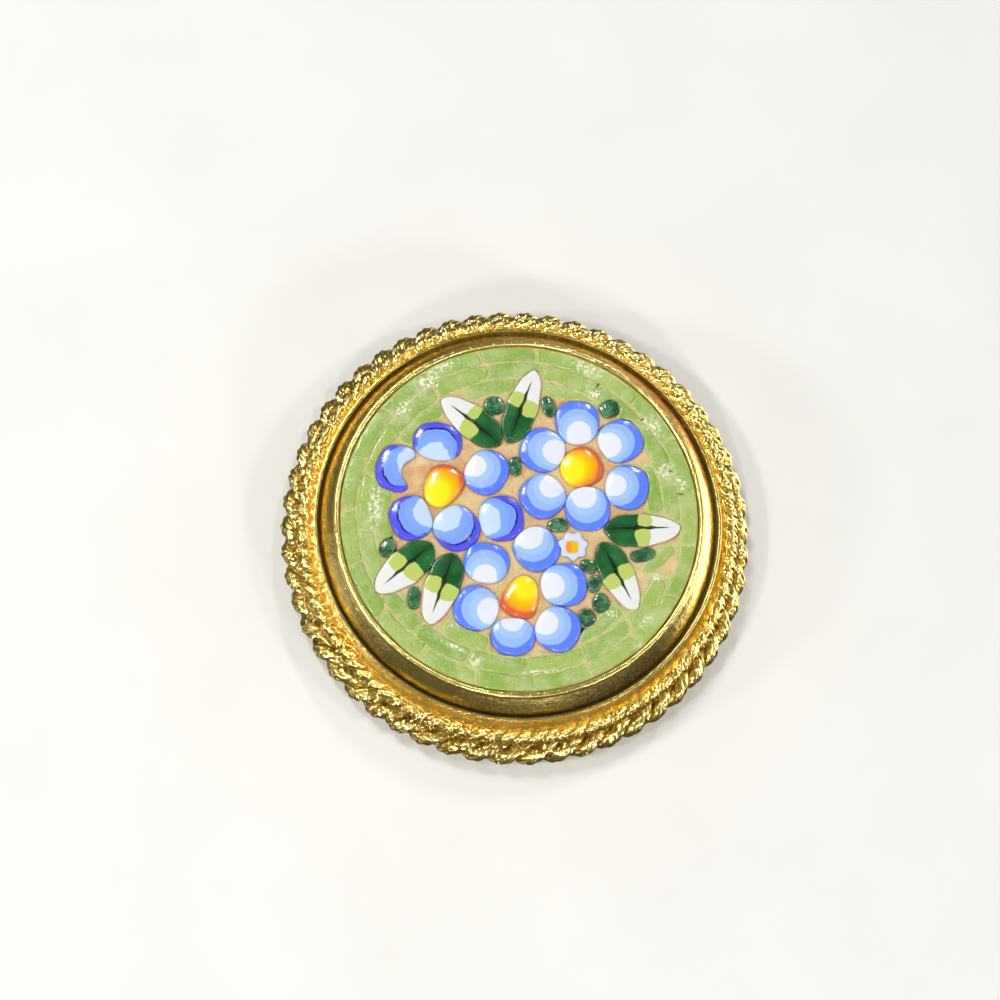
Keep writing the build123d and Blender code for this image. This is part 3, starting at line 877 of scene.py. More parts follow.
def pillow_mesh(loop, pillow, seed):
    """Points and faces of one slice with a rounded rim and a crowned face."""
    draw = np.random.default_rng(seed)
    step = pillow.cell * 0.8
    rim_line = soften(resample(loop, step), step, pillow.corner)
    wave = np.array([lumps(x, y, 1.6, seed * 3.7) for x, y in rim_line])
    rim_line = rim_line + outward(rim_line) * (pillow.grow + wave * pillow.wave)[:, None]
    inward = -outward(rim_line)
    rings = [rim_line]
    for angle in (25, 50, 72, 90):
        ring = rim_line + inward * pillow.rim * (1 - cos(radians(angle)))
        far = rim_distance(ring, rim_line)
        rings.append(ring[far > 0.9 * pillow.rim * (1 - cos(radians(angle)))])
    comb = honeycomb(rim_line.min(0), rim_line.max(0), pillow.cell)
    comb = comb + draw.uniform(-0.12, 0.12, comb.shape) * pillow.cell
    comb = comb[rim_distance(comb, rim_line) > pillow.rim + 0.4 * pillow.cell]
    points, faces = triangulated(np.vstack(rings + [comb]), len(rim_line), 1e-6)
    depth = np.maximum(rim_distance(points, rim_line), 0)
    quarter = np.sqrt(np.maximum(pillow.rim**2 - (pillow.rim - depth) ** 2, 0))
    height = np.where(depth < pillow.rim, quarter, pillow.rim)
    widest = depth.max()
    crown = pillow.crown * np.sqrt(np.maximum(1 - (1 - np.minimum(depth / widest, 1)) ** 2, 0))
    links = np.array(sorted({tuple(sorted(e)) for f in faces for e in zip(f, f[1:] + f[:1])}))
    joined = np.bincount(links.ravel(), minlength=len(points))
    for _ in range(14):
        total = np.bincount(links[:, 0], crown[links[:, 1]], len(points))
        total += np.bincount(links[:, 1], crown[links[:, 0]], len(points))
        crown = 0.4 * crown + 0.6 * total / np.maximum(joined, 1)
    middle = rim_line.mean(0)
    lean = radians(pillow.tilt) * draw.uniform(-1, 1, 2)
    ripple = np.array([lumps(x, y, 1.3, seed * 1.9) for x, y in points]) * 0.02
    z = pillow.top - pillow.rim + height + crown + ripple + (points - middle) @ lean
    return points, z, faces, rim_line


def close_slice(points, z, faces, rim_line, floor_z):
    """Adds the side wall and the underside to a slice's face."""
    tree = kdtree.KDTree(len(points))
    for i, p in enumerate(points):
        tree.insert((p[0], p[1], 0), i)
    tree.balance()
    rim = [tree.find((p[0], p[1], 0))[1] for p in rim_line]
    base = len(points)
    solid = np.column_stack([points, z])
    solid = np.vstack([solid, np.column_stack([rim_line, np.full(len(rim_line), floor_z)])])
    count = len(rim)
    walls = [
        [rim[(i + 1) % count], rim[i], base + i, base + (i + 1) % count] for i in range(count)
    ]
    underside = [[base + i for i in reversed(range(count))]]
    return solid, faces + walls + underside


def glass_slice(loop, pillow, seed):
    points, z, faces, rim_line = pillow_mesh(loop, pillow, seed)
    return close_slice(points, z, faces, rim_line, glass_z)


def glass_piece(node, points, faces, material, values):
    """The piece of glass that stands for a node."""
    return make_piece(f"{node}_glass", points, faces, material, [node], values)


print("slice helpers ready")

# %% [markdown]
# The petals stand like drops, rounded all over. A charted table says which way
# each crescent faces, how wide it is and how large the pale disc is. It was
# judged for each petal, as a mosaic maker turns each slice before pressing it in.

# %% Petals
Petal = namedtuple("Petal", "node facing kind crescent disc")
PETALS = [
    Petal("left_flower_petal_1", 80, "dark", 0.40, 1.05),
    Petal("left_flower_petal_2", -24, "light", 0.46, 0.74),
    Petal("left_flower_petal_3", 12, "dark", 0.40, 1.00),
    Petal("left_flower_petal_4", -48, "dark", 0.42, 1.00),
    Petal("left_flower_petal_5", 200, "dark", 0.46, 0.96),
    Petal("left_flower_petal_6", 198, "dark", 0.42, 1.02),
    Petal("upper_flower_petal_1", 94, "light", 0.60, 0.78),
    Petal("upper_flower_petal_2", 24, "light", 0.50, 0.78),
    Petal("upper_flower_petal_3", -4, "light", 0.60, 0.70),
    Petal("upper_flower_petal_4", -74, "light", 0.46, 0.80),
    Petal("upper_flower_petal_5", 228, "light", 0.50, 0.72),
    Petal("upper_flower_petal_6", 168, "light", 0.46, 0.78),
    Petal("lower_flower_petal_1", 84, "light", 0.46, 0.74),
    Petal("lower_flower_petal_2", -60, "light", 0.54, 0.90),
    Petal("lower_flower_petal_3", 8, "light", 0.58, 0.80),
    Petal("lower_flower_petal_4", -24, "light", 0.58, 0.76),
    Petal("lower_flower_petal_5", -86, "light", 0.46, 0.72),
    Petal("lower_flower_petal_6", 166, "light", 0.46, 0.78),
]
petal_pillow = Pillow(
    grow=0.03, corner=0.06, rim=0.12, crown=0.20, top=glass_top - 0.11, tilt=1.5, wave=0.02, cell=0.075
)
petal_materials = {"light": light_petal, "dark": dark_petal}


def cane_coordinates(points, loop, facing, number):
    """Depth behind the slice's front and place across it, in millimetres, with a number.

    The number sets the slice apart in the noise that bends its picture.
    """
    turn = radians(facing)
    ahead, across = np.array([cos(turn), sin(turn)]), np.array([-sin(turn), cos(turn)])
    side = loop @ across
    middle = (side.max() + side.min()) / 2
    depth = (loop @ ahead).max() - points[:, :2] @ ahead
    return np.column_stack([depth, points[:, :2] @ across - middle, np.full(len(points), number)])


for number, row in enumerate(PETALS):
    loop = slice_outlines[row.node][0]
    points, faces = glass_slice(loop, petal_pillow, 10 + number)
    cane = cane_coordinates(points, loop, row.facing, number * 5.0)
    sizes = np.tile((row.crescent, row.disc, 0.0), (len(points), 1))
    values = {"cane": cane, "cane_size": sizes}
    petal = glass_piece(row.node, points, faces, petal_materials[row.kind], values)
print("petals:", len(PETALS), "triangles in the last:", triangles(petal))

# %% [markdown]
# A flower centre stands proudest of all, a bead more than a slice. The same helper makes
# it with a wider rim and a higher crown.

# %% Flower centres
Centre = namedtuple("Centre", "node facing")
CENTRES = [
    Centre("left_flower_centre", 55),
    Centre("upper_flower_centre", 22),
    Centre("lower_flower_centre", -112),
]
centre_pillow = Pillow(
    grow=0.04, corner=0.07, rim=0.16, crown=0.30, top=glass_top - 0.12, tilt=0.6, wave=0.02, cell=0.07
)
for number, row in enumerate(CENTRES):
    loop = slice_outlines[row.node][0]
    points, faces = glass_slice(loop, centre_pillow, 40 + number)
    cane = cane_coordinates(points, loop, row.facing, 3.0 + number * 5.0)
    glass_piece(row.node, points, faces, centre_glass, {"cane": cane})
print("centres:", len(CENTRES), "highest point", round(points[:, 2].max(), 2))

# %% [markdown]
# Leaves are the flattest slices and have the sharpest rims. Their attribute gives the
# share of the length from the tip and the distance from the midrib, which is all that
# the leaf group needs.

# %% Leaves
leaf_pillow = Pillow(
    grow=0.03, corner=0.04, rim=0.09, crown=0.07, top=glass_top - 0.06, tilt=1.0, wave=0.02, cell=0.08
)
for number, row in enumerate(LEAF_CANES):
    loop = slice_outlines[row.node][0]
    points, faces = glass_slice(loop, leaf_pillow, 50 + number)
    tip = np.array([row.tip_x, row.tip_y])
    run = np.array([row.base_x, row.base_y]) - tip
    length = np.hypot(*run)
    along = (points[:, :2] - tip) @ run / length**2
    across = (points[:, :2] - tip) @ np.array([-run[1], run[0]]) / length
    values = {"leaf": np.column_stack([along, across, np.zeros(len(points))])}
    leaf = glass_piece(row.node, points, faces, leaf_materials[row.node], values)
print("leaves:", len(LEAF_CANES), "triangles in the last:", triangles(leaf))

# %% Small white flower
small_pillow = Pillow(
    grow=0.05, corner=0.05, rim=0.10, crown=0.08, top=glass_top - 0.07, tilt=0.5, wave=0.05, cell=0.06
)
heart_at = (3.20, -2.10, 0.0)
points, faces = glass_slice(slice_outlines["small_flower"][0], small_pillow, 60)
from_heart = (points - heart_at) * (1, 1, 0)
small_flower = glass_piece("small_flower", points, faces, small_glass, {"cane": from_heart})
print("small flower triangles:", triangles(small_flower))

# %% [markdown]
# Some marks of age are charted, by angle, radius, length along the radius and width
# across it: small crevices where a joint has opened, sunk into the grout and painted
# near-black as shade, and patches of pale dust with white specks that are painted
# glints of broken glass. Stones and grout both read the second chart. The third says
# where the grout of the field has stayed tan.

# %% Crevices with painted shade, dust patches with painted glints, and tan patches
Mark = namedtuple("Mark", "angle radius length across")
CREVICES = [
    Mark(8.5, 10.15, 0.16, 0.035),
    Mark(17.5, 9.9, 0.12, 0.035),
    Mark(39.5, 10.0, 0.20, 0.035),
    Mark(47.0, 10.55, 0.25, 0.03),
    Mark(60.0, 10.0, 0.18, 0.035),
    Mark(122.0, 9.7, 0.40, 0.03),
    Mark(143.0, 10.4, 0.16, 0.03),
    Mark(235.0, 10.3, 0.20, 0.03),
    Mark(274.0, 9.75, 0.30, 0.035),
    Mark(297.0, 9.65, 0.30, 0.04),
    Mark(311.0, 10.65, 0.28, 0.03),
    Mark(349.5, 10.8, 0.16, 0.035),
    Mark(192.0, 8.1, 0.10, 0.30),
    Mark(197.5, 8.1, 0.12, 0.26),
    Mark(298.0, 8.2, 0.20, 0.20),
    Mark(47.5, 7.7, 0.22, 0.12),
]
DUST_AND_GLINTS = [
    Mark(178.0, 8.95, 0.35, 1.30),
    Mark(116.0, 10.75, 0.30, 0.70),
    Mark(124.0, 10.40, 0.40, 0.80),
    Mark(137.0, 9.95, 0.35, 0.70),
    Mark(66.0, 10.60, 0.35, 0.90),
    Mark(60.0, 9.30, 0.30, 0.50),
    Mark(35.0, 10.30, 0.45, 0.70),
    Mark(18.0, 9.60, 0.50, 0.45),
    Mark(244.0, 9.30, 0.12, 0.80),
    Mark(241.0, 8.15, 0.15, 0.20),
    Mark(254.0, 9.70, 0.25, 0.30),
    Mark(319.0, 10.20, 0.25, 0.45),
    Mark(311.0, 8.45, 0.35, 0.40),
    Mark(277.0, 9.95, 0.10, 1.10),
    Mark(311.0, 11.00, 0.12, 0.30),
    Mark(335.0, 9.30, 0.25, 0.25),
    Mark(12.0, 10.3, 0.30, 0.40),
]
TAN = [
    Mark(342.0, 9.70, 0.75, 0.80),
    Mark(331.0, 8.40, 0.55, 0.80),
    Mark(26.0, 8.80, 0.60, 0.50),
    Mark(103.0, 10.00, 0.25, 0.40),
    Mark(276.0, 8.70, 0.60, 0.35),
    Mark(215.0, 10.00, 0.35, 0.90),
    Mark(232.0, 9.00, 0.40, 0.50),
    Mark(150.0, 8.50, 0.40, 0.50),
    Mark(84.0, 9.60, 0.30, 0.35),
    Mark(319.5, 9.10, 0.30, 0.40),
]


def marked(marks, x, y):
    """How deep a point lies in one of the charted marks, from 0 to 1."""
    deepest = 0.0
    for row in marks:
        turn = radians(row.angle)
        dx, dy = x - row.radius * cos(turn), y - row.radius * sin(turn)
        out, side = dx * cos(turn) + dy * sin(turn), dy * cos(turn) - dx * sin(turn)
        deepest = max(deepest, exp(-((out / row.length) ** 2) - (side / row.across) ** 2))
    return deepest


print("crevices:", len(CREVICES), "dusty patches:", len(DUST_AND_GLINTS), "tan patches:", len(TAN))

# %% [markdown]
# The loose slices of one node become one piece with many islands. Each island gets its
# own seed, so that each stone is cut, tilted and tinted a little differently.

# %% Dots and field
def room_around(loop):
    """Distance in millimetres from an outline to the nearest other outline."""
    own = resample(loop, 0.1)
    room = mosaic_r
    for loops in slice_outlines.values():
        for other in loops:
            if other is not loop:
                gaps = resample(other, 0.1)[:, None] - own[None]
                room = min(room, float(np.hypot(gaps[..., 0], gaps[..., 1]).min()))
    return room


def many_slices(node, pillow, material, seed, most_grow=0.0):
    """One piece from all the loose slices of a node, each grown into the room round it."""
    draw = np.random.default_rng(seed)
    all_points, all_faces, tints, dust_and_glints = [], [], [], []
    base = 0
    for number, loop in enumerate(slice_outlines[node]):
        lift = draw.uniform(-0.03, 0.03)
        grow = pillow.grow
        if most_grow:
            grow = max(grow, min(most_grow, 0.5 * room_around(loop)))
        own_pillow = pillow._replace(top=pillow.top + lift, grow=grow)
        points, faces = glass_slice(loop, own_pillow, seed + number)
        all_points.append(points)
        all_faces += [[i + base for i in f] for f in faces]
        tints += [draw.uniform(0, 1)] * len(points)
        dust_and_glints += [marked(DUST_AND_GLINTS, x, y) for x, y, z in points]
        base += len(points)
    values = {"tint": tints, "dust_and_glints": dust_and_glints}
    return glass_piece(node, np.vstack(all_points), all_faces, material, values)


dot_pillow = Pillow(
    grow=0.04, corner=0.05, rim=0.07, crown=0.12, top=glass_top - 0.14, tilt=5.0, wave=0.12, cell=0.06
)
dots = many_slices("dark_dots", dot_pillow, dot_glass, 100, most_grow=0.17)
field_pillow = Pillow(
    grow=0.02, corner=0.20, rim=0.10, crown=0.07, top=glass_top - 0.12, tilt=1.0, wave=0.10, cell=0.095
)
field = many_slices("green_field", field_pillow, field_glass, 200)
print("dots:", triangles(dots), "field:", triangles(field), "triangles")

# %% [markdown]
# The grout fills the joints to just under the faces of the glass and climbs a little
# up each rim. It is one sheet over the whole bed, with a fine honeycomb of points. A
# search tree of all outlines tells each point how far the nearest glass is and
# whether it belongs to the field, and that sets the height, the green dust and the
# painted shade in the moats round the motifs. The charts add the crevices, painted
# near-black as shade, and the pale dust with its painted glints.

# %% Points of the grout sheet
grout_cell = 0.085
bed_clear = 0.02
under_glass = 0.12

rim_points = [
    (x, y, node == "green_field")
    for node, loops in slice_outlines.items()
    for loop in loops
    for x, y in resample(loop, 0.06)
]
rims = kdtree.KDTree(len(rim_points))
for index, (x, y, in_field) in enumerate(rim_points):
    rims.insert((x, y, 0), index)
rims.balance()

grout_r = mosaic_r - bed_clear
comb = honeycomb((-grout_r, -grout_r), (grout_r, grout_r), grout_cell)
comb = comb[np.hypot(comb[:, 0], comb[:, 1]) < grout_r - 0.6 * grout_cell]
edge_count = int(2 * pi * grout_r / grout_cell)
edge_turn = np.linspace(0, 2 * pi, edge_count, endpoint=False)
edge = np.column_stack([grout_r * np.cos(edge_turn), grout_r * np.sin(edge_turn)])
covered = np.zeros(len(comb), bool)
for loops in slice_outlines.values():
    for loop in loops:
        low, high = loop.min(0), loop.max(0)
        near = np.flatnonzero(((comb > low) & (comb < high)).all(1))
        covered[near] |= rim_distance(comb[near], loop) > under_glass
print("grout points:", len(comb), "of which under glass:", int(covered.sum()))

# %% Shape the grout
grout_top = glass_top - 0.20
field_rise = 0.07
sag_depth, sag_reach = 0.05, 0.4
moat_depth, moat_reach = 0.07, 0.07
crevice_depth = 0.30

flat, grout_faces = triangulated(np.vstack([edge, comb[~covered]]), edge_count, 1e-7)
heights = []
grout_values = defaultdict(list)
for x, y in flat:
    _, index, gap = rims.find((x, y, 0))
    in_field = rim_points[index][2]
    crevice = marked(CREVICES, x, y)
    rough = 0.035 * lumps(x, y, 2.3, 0.4) + 0.018 * lumps(x, y, 7, 2.2)
    sag = sag_depth * min(gap / sag_reach, 1.0)
    rise = field_rise if in_field else 0.0
    moat = 0.0 if in_field else exp(-((gap / moat_reach) ** 2))
    heights.append(grout_top + rise - sag + rough - crevice_depth * crevice - moat_depth * moat)
    dust = 0.2 + 1.4 * ((0.5 if in_field else -0.5) + 0.55 * lumps(x, y, 0.6, 5.1))
    grout_values["green_dust"].append(min(max(dust, 0.0), 0.9) * (1 - marked(TAN, x, y)))
    # The moat share paints shade into the grout round the motifs.
    grout_values["moat"].append(moat * (0.55 + 0.6 * lumps(x, y, 1.1, 8.3)))
    grout_values["dust_and_glints"].append(marked(DUST_AND_GLINTS, x, y))
    # The crevice share paints the grout near-black there as shade.
    grout_values["crevice"].append(min(1.0, 1.4 * crevice))

skirt_base = len(flat)
skirt = np.column_stack([edge, np.full(edge_count, bed_low[2])])
for i in range(edge_count):
    k = (i + 1) % edge_count
    grout_faces.append([k, i, skirt_base + i, skirt_base + k])
grout_faces.append([skirt_base + i for i in reversed(range(edge_count))])
for key, shares in grout_values.items():
    shares += [0.5 if key == "green_dust" else 0.0] * edge_count
grout_points = np.vstack([np.column_stack([flat, heights]), skirt])
grout = make_piece(
    "grout_sheet", grout_points, grout_faces, grout_matter, ["grout_bed"], grout_values
)
print("grout triangles:", triangles(grout))

# %% [markdown]
# The setting is turned metal: a foot, a back plate, a sloping bezel with a rolled lip and
# a thin collar. One profile swept round the axis gives them all. Its corners are
# rounded, its bezel bulges a little, and a slow noise pushes the metal in and out by a
# few hundredths of a millimetre, as years of wear do. A short chart says where round
# the bezel's wall dark reflections and an orange reflection are painted into the gilding.

# %% Profile of the setting
Corner = namedtuple("Corner", "r z round_by")
back_z = 2.40
plate_z = 2.90
foot_in_r, foot_out_r, foot_z = 11.84, 13.19, 0.55
collar_r, collar_in_r, collar_z = 12.74, 12.54, 3.73
groove_z, bezel_r = 3.37, 12.40
recess_r, lip_w = 11.14, 0.36
lip_round = lip_w / 2
bezel_bulge = 0.06
recess_bevel = 0.2
coarse_r, coarse_z, coarse_strand = 14.147, 0.905, 0.45
fine_r, fine_z, fine_strand = 13.417, 2.285, 0.33
solder_half, fine_solder_half = 0.13, 0.09
PROFILE = [
    Corner(0.0, plate_z, 0.0),
    Corner(0.0, back_z, 0.0),
    Corner(foot_in_r, back_z, 0.15),
    Corner(foot_in_r, 0.0, 0.10),
    Corner(foot_out_r, 0.0, 0.12),
    Corner(foot_out_r, foot_z, 0.10),
    Corner(collar_r, foot_z, 0.06),
    Corner(collar_r, coarse_z - solder_half, 0.03),
    Corner(coarse_r, coarse_z - solder_half, 0.02),
    Corner(coarse_r, coarse_z + solder_half, 0.02),
    Corner(collar_r, coarse_z + solder_half, 0.03),
    Corner(collar_r, fine_z - fine_solder_half, 0.03),
    Corner(fine_r, fine_z - fine_solder_half, 0.02),
    Corner(fine_r, fine_z + fine_solder_half, 0.02),
    Corner(collar_r, fine_z + fine_solder_half, 0.03),
    Corner(collar_r, collar_z, 0.07),
    Corner(collar_in_r, collar_z, 0.07),
    Corner(collar_in_r, groove_z, 0.04),
    Corner(bezel_r, groove_z, 0.04),
]


def rounded(corners, steps=4):
    """Profile points with each corner replaced by a short curve."""
    points = []
    for i, corner in enumerate(corners):
        here = np.array([corner.r, corner.z])
        if corner.round_by == 0 or i in (0, len(corners) - 1):
            points.append(here)
            continue
        before = np.array(corners[i - 1][:2]) - here
        after = np.array(corners[i + 1][:2]) - here
        start = here + before / np.hypot(*before) * corner.round_by
        end = here + after / np.hypot(*after) * corner.round_by
        for k in range(steps + 1):
            t = k / steps
            points.append((1 - t) ** 2 * start + 2 * t * (1 - t) * here + t**2 * end)
    return points


wall_start = np.array([bezel_r, groove_z])
wall_run = np.array([recess_r + lip_w, lip_top - lip_round]) - wall_start
wall_out = np.array([wall_run[1], -wall_run[0]]) / np.hypot(*wall_run)
lip_middle = np.array([recess_r + lip_round, lip_top - lip_round])
profile = rounded(PROFILE)
for t in np.linspace(0, 1, 15)[1:]:
    profile.append(wall_start + t * wall_run + 4 * t * (1 - t) * bezel_bulge * wall_out)
for angle in np.radians(np.linspace(0, 180, 13)[1:]):
    profile.append(lip_middle + lip_round * np.array([cos(angle), sin(angle)]))
profile.append(np.array([recess_r, plate_z + recess_bevel]))
profile.append(np.array([recess_r - recess_bevel, plate_z]))
print("profile points:", len(profile))


# %% Turn the setting
def spun(profile, segments):
    """Points and faces of a closed profile swept round the axis."""
    points, faces = [], []
    inner = [i for i, p in enumerate(profile) if p[0] > 1e-6]
    poles = [i for i, p in enumerate(profile) if p[0] <= 1e-6]
    ring = {i: k for k, i in enumerate(inner)}
    for s in range(segments):
        turn = 2 * pi * s / segments
        for i in inner:
            points.append((profile[i][0] * cos(turn), profile[i][0] * sin(turn), profile[i][1]))
    count = len(inner)
    pole_at = {i: segments * count + k for k, i in enumerate(poles)}
    points += [(0.0, 0.0, profile[i][1]) for i in poles]
    for s in range(segments):
        t = (s + 1) % segments
        for i in range(len(profile)):
            k = (i + 1) % len(profile)
            corners = []
            for index, turn_index in ((i, s), (i, t), (k, t), (k, s)):
                corner = pole_at[index] if index in pole_at else turn_index * count + ring[index]
                if corner not in corners:
                    corners.append(corner)
            if len(corners) > 2:
                faces.append(corners)
    return np.array(points), faces


setting_points, setting_faces = spun(profile, 420)
print("setting points:", len(setting_points))


# %% Chart the painted reflections on the bezel
def fading(angles, middle, reach):
    """From 1 at an angle round the ring to 0 well past the reach, both in degrees."""
    away = (angles - middle + 180) % 360 - 180
    return np.exp(-((away / reach) ** 4))


# Each row paints a dark reflection and an orange reflection into the gilding of the bezel's wall, by angle
# round the ring.
WallReflection = namedtuple("WallReflection", "angle reach tarnish warmth")
WALL_REFLECTIONS = [
    WallReflection(36, 24, 0.10, 1.0),
    WallReflection(122, 18, 0.40, 0.0),
    WallReflection(224, 15, 0.70, 0.0),
    WallReflection(264, 16, 0.68, 0.2),
    WallReflection(302, 26, 0.85, 0.0),
]
wall_in_r, wall_out_r = 11.55, 12.42

radius = np.hypot(setting_points[:, 0], setting_points[:, 1])
angles = np.degrees(np.arctan2(setting_points[:, 1], setting_points[:, 0]))
on_wall = (radius > wall_in_r) & (radius < wall_out_r) & (setting_points[:, 2] > groove_z)
warm, wall_dark_reflection = np.zeros(len(angles)), np.zeros(len(angles))
for row in WALL_REFLECTIONS:
    share = np.where(on_wall, fading(angles, row.angle, row.reach), 0.0)
    wall_dark_reflection = np.maximum(wall_dark_reflection, share * row.tarnish)
    warm = np.maximum(warm, share * row.warmth)
print("points of the bezel's wall:", int(on_wall.sum()))

# %% Painted shade, tarnish and dents of the setting
shade_in_r, shade_out_r = 11.6, 12.5
shade_top_z, shade_fade = 3.8, 0.3
groove_r, groove_reach, groove_top_z = 12.46, 0.12, 3.66
dent, fine_dent = 0.024, 0.007

tarnish_and_shade = []
for index, ((x, y, z), r) in enumerate(zip(setting_points, np.maximum(radius, 1e-6))):
    # Painted shade: the groove and the low part of the bezel's wall are painted dark, and this share makes
    # it stronger on the front half, toward the camera.
    front = 0.72 - 0.28 * y / r
    groove_shade = (0.5 + front) * exp(-(((r - groove_r) / groove_reach) ** 2)) if z < groove_top_z else 0.0
    low_share = max(0.0, min(1.0, (shade_top_z - z) / shade_fade))
    low_wall_shade = low_share * front if shade_in_r < r < shade_out_r else 0.0
    # The collar's outside under the ropes is darker, and the back a little darker.
    outside = 0.7 if r > collar_r - 0.01 and z < fine_z - 0.4 else 0.0
    inside_back = 0.35 if z < plate_z - 0.1 and r < collar_r - 0.5 else 0.0
    tarnish_and_shade.append(max(groove_shade, low_wall_shade, outside, inside_back, wall_dark_reflection[index]))
    if z > groove_z and r > recess_r - 0.01:
        push = dent * noise.noise(Vector((x * 0.7, y * 0.7, z * 0.7)))
        push += fine_dent * noise.noise(Vector((x * 2.4, y * 2.4, z * 2.4 + 7)))
        setting_points[index] = (x * (1 + push / r), y * (1 + push / r), z + push * 0.6)
setting_values = {"tarnish_and_shade": tarnish_and_shade, "warm": warm}
setting = make_piece(
    "turned_setting", setting_points, setting_faces, setting_gilt, ["setting"], setting_values
)
print("setting triangles:", triangles(setting))

# %% [markdown]
# Each rope is two strands twisted round each other and bent into a ring. Modelling them
# as tubes that follow a helix along a circle is exact and cheap. Each strand is itself a
# bundle of six thin wires, so round ridges with narrow valleys wind along it and break
# the light into short bright strokes. The ridges are in the mesh, not only in the bump,
# because they show against the dark joints. Whole numbers of twists close the ring
# without a seam. A second attribute fades the small beads out round the ring.

# %% Rope strands
Rope = namedtuple("Rope", "name ring_r ring_z strand_r turns wires twists valley stations sides")
ROPES = [
    Rope("coarse_rope", coarse_r, coarse_z, coarse_strand, 27, 6, 19, 0.13, 1300, 30),
    Rope("fine_rope", fine_r, fine_z, fine_strand, 48, 6, 77, 0.12, 1600, 28),
]


def rope_strand(rope, start):
    """Points, faces and shares of tarnish and painted shade of one strand of a two-strand rope ring."""
    nest = rope.strand_r * 0.9
    stations, sides = rope.stations, rope.sides
    points, tarnish_and_shade = [], []

    def centre(turn):
        lobe = rope.turns * turn + start
        r = rope.ring_r + nest * cos(lobe)
        return Vector((r * cos(turn), r * sin(turn), rope.ring_z + nest * sin(lobe)))

    for i in range(stations):
        turn = 2 * pi * i / stations
        lobe = rope.turns * turn + start
        middle = centre(turn)
        tangent = (centre(turn + 1e-4) - centre(turn - 1e-4)).normalized()
        radial = Vector((cos(turn), sin(turn), 0))
        outer = radial * cos(lobe) + Vector((0, 0, 1)) * sin(lobe)
        outer = (outer - tangent * outer.dot(tangent)).normalized()
        side = tangent.cross(outer)
        uneven = 1 + 0.35 * noise.noise(middle * 0.9 + Vector((start, 0, 0)))
        for j in range(sides):
            a = 2 * pi * j / sides
            crest = abs(cos(rope.wires * a / 2 + rope.twists * turn))
            reach = rope.strand_r - rope.valley * uneven * (1 - crest)
            points.append(middle + (outer * cos(a) + side * sin(a)) * reach)
            # Darker where the strands nest against each other and down between the wires: tarnish and
            # painted shade.
            tarnish_and_shade.append(min(1.0, max(0.0, 0.75 - 0.45 * cos(a) - 0.75 * crest)))
    faces = []
    for i in range(stations):
        k = (i + 1) % stations
        for j in range(sides):
            m = (j + 1) % sides
            faces.append([i * sides + m, k * sides + m, k * sides + j, i * sides + j])
    return points, faces, tarnish_and_shade


print("ropes to make:", [rope.name for rope in ROPES])

# %% Ropes
bead_middle, bead_reach, bead_least = 215.0, 75.0, 0.2

for rope in ROPES:
    points, faces, tarnish_and_shade = [], [], []
    for start in (0.0, pi):
        strand_points, strand_faces, strand_tarnish_and_shade = rope_strand(rope, start)
        faces += [[i + len(points) for i in f] for f in strand_faces]
        points += strand_points
        tarnish_and_shade += strand_tarnish_and_shade
    place = np.array(points)
    around = np.degrees(np.arctan2(place[:, 1], place[:, 0]))
    beads = np.maximum(bead_least, fading(around, bead_middle, bead_reach))
    values = {"tarnish_and_shade": tarnish_and_shade, "beads": beads}
    made = make_piece(rope.name, points, faces, rope_gilt, ["setting"], values)
    print(rope.name, "triangles:", triangles(made))

# %% [markdown]
# The pin fitting on the back keeps its CAD shape, which is right for a plain stamped
# part. It only needs its brass.

# %% Pin fitting
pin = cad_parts["brooch_pin"]
pin.data.materials.clear()
pin.data.materials.append(pin_brass)
for slot_item in pin.material_slots:
    slot_item.material = pin_brass
print("pin fitting material:", pin.material_slots[0].material.name)

# %% [markdown]
# The brooch lies on a plain pale table. The table is part of the stage, not of the
# object. Polished metal shows whatever surrounds it, so the surroundings matter as
# much as the lamps. The sky dome is bright above and dim and mottled towards the
# horizon. Soft white cards stand in it, as in a photographer's studio, and a dark one
# hangs overhead. They give the gold its dark and light bands. The camera itself sees
# the dome as an even pale grey.

# %% Table
table_half = 1.5
table_corners = [(x * table_half, y * table_half, 0) for x, y in ((-1, -1), (1, -1), (1, 1), (-1, 1))]
table_mesh = bpy.data.meshes.new("table")
table_mesh.from_pydata(table_corners, [], [(0, 1, 2, 3)])
table = bpy.data.objects.new("table", table_mesh)
bpy.context.scene.collection.objects.link(table)
table_matter, table_tree, table_shader = new_material("pale table", Specular_IOR_Level=0.2)
table_cloud = noise_at(table_tree, place_mm(table_tree), 0.08, 4.0)
table_colour = mix(table_tree, table_cloud, screen(216, 214, 209), screen(228, 226, 222))
feed(table_tree, table_shader.inputs["Base Color"], table_colour)
feed(table_tree, table_shader.inputs["Roughness"], soft_step(table_tree, table_cloud, 0.3, 0.7, 0.7, 0.85))
table_mesh.materials.append(table_matter)
table.visible_glossy = False
print("table:", table.name)

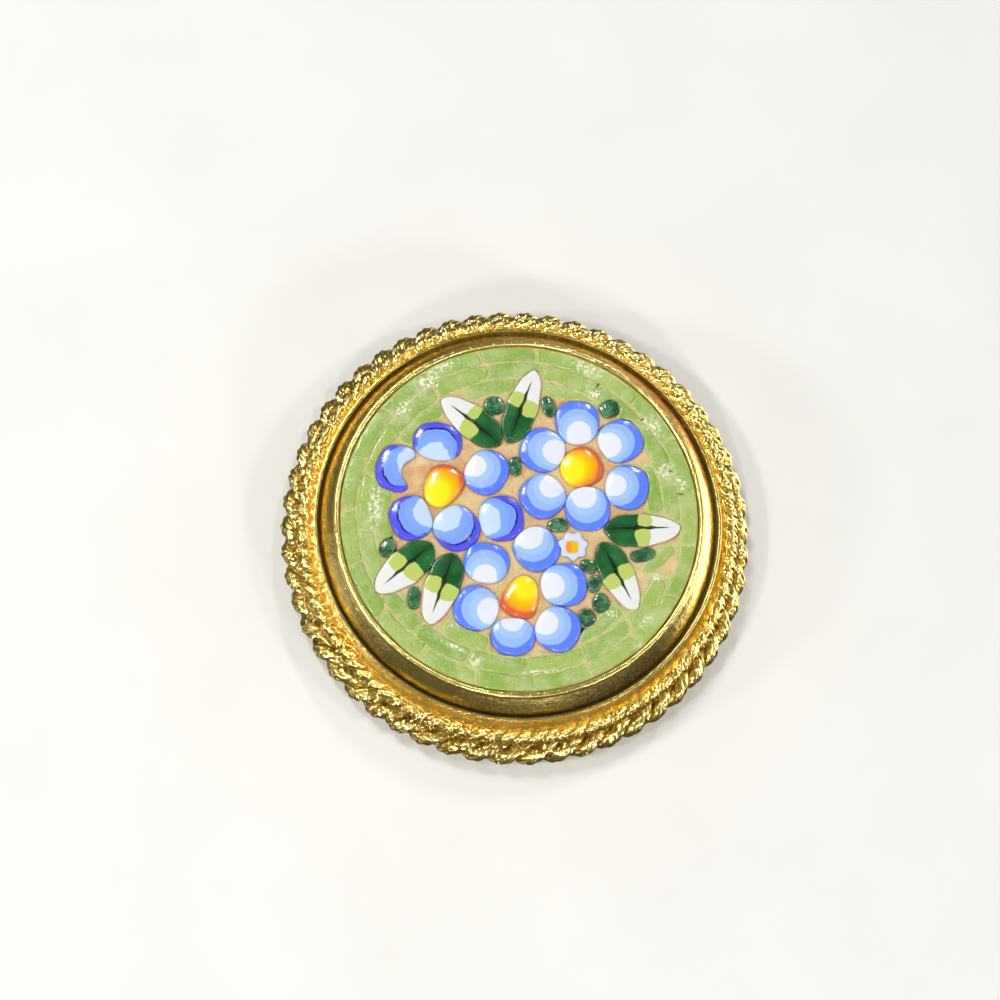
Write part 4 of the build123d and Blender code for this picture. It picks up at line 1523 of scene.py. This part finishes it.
# %% Sky dome and cards
world = bpy.data.worlds.new("studio")
world.use_nodes = True
bpy.context.scene.world = world
world_tree = world.node_tree
dome = world_tree.nodes["Background"]
dome_way = add_node(world_tree, "ShaderNodeTexCoord").outputs["Generated"]
dome_rise = soft_step(world_tree, split(world_tree, dome_way)[2], 0.05, 0.85)
dome_mottle = soft_step(world_tree, noise_at(world_tree, dome_way, 8.0, 4.0, 0.65), 0.40, 0.62)
dome_low = mix(world_tree, dome_mottle, screen(48, 44, 38), screen(190, 186, 172))
dome_colour = mix(world_tree, dome_rise, dome_low, screen(230, 229, 226))
Card = namedtuple("Card", "x y z inner outer light")
CARDS = [
    Card(0.88, 0.20, -0.40, 18, 28, 9.0),
    Card(0.80, 0.10, 0.45, 12, 26, 3.2),
    Card(-0.90, -0.16, -0.38, 10, 24, 1.5),
    Card(0.10, 0.85, -0.50, 4, 14, 1.0),
    Card(0.20, -0.90, 0.30, 10, 22, 2.4),
    Card(-0.62, 0.60, 0.50, 12, 26, 3.0),
    Card(0.50, 0.66, -0.54, 8, 20, 1.8),
    Card(0.05, 0.36, 0.93, 6, 34, 0.22),
]
for card in CARDS:
    toward = Vector((card.x, card.y, card.z)).normalized()
    facing = add_node(world_tree, "ShaderNodeVectorMath", operation="DOT_PRODUCT")
    feed(world_tree, facing.inputs[0], dome_way)
    facing.inputs[1].default_value = toward
    outer_edge, inner_edge = cos(radians(card.outer)), cos(radians(card.inner))
    card_mask = soft_step(world_tree, facing.outputs["Value"], outer_edge, inner_edge)
    dome_colour = mix(world_tree, card_mask, dome_colour, (card.light, card.light, card.light, 1.0))
seen = add_node(world_tree, "ShaderNodeLightPath").outputs["Is Camera Ray"]
feed(world_tree, dome.inputs["Color"], mix(world_tree, seen, dome_colour, screen(224, 224, 224)))
dome.inputs["Strength"].default_value = 0.345
print("cards in the dome:", len(CARDS))

# %% [markdown]
# Lamps do the rest. A large soft one high on the left models the glass, and six small
# ones all round make the sparkle on the ropes and in the pits of the glass.

# %% Lamps
Lamp = namedtuple("Lamp", "name x y z side watts")
LAMPS = [
    Lamp("key", -120, 150, 260, 60, 0.35),
    Lamp("sparkle left", -190, -70, 200, 22, 0.22),
    Lamp("sparkle back", 90, 210, 200, 22, 0.15),
    Lamp("sparkle right", 210, -30, 180, 22, 0.13),
    Lamp("sparkle front", -40, -220, 170, 22, 0.18),
    Lamp("sparkle low left", -250, -60, 110, 22, 0.18),
    Lamp("sparkle low front", 150, -190, 110, 22, 0.13),
]
for row in LAMPS:
    lamp_data = bpy.data.lights.new(row.name, "AREA")
    lamp_data.shape = "SQUARE"
    lamp_data.size = row.side * MM
    lamp_data.energy = row.watts
    lamp = bpy.data.objects.new(row.name, lamp_data)
    lamp.location = Vector((row.x, row.y, row.z)) * MM
    lamp.rotation_euler = (-lamp.location).to_track_quat("-Z", "Y").to_euler()
    bpy.context.scene.collection.objects.link(lamp)
bpy.context.scene.view_settings.view_transform = "Standard"
print("lamps:", [row.name for row in LAMPS])
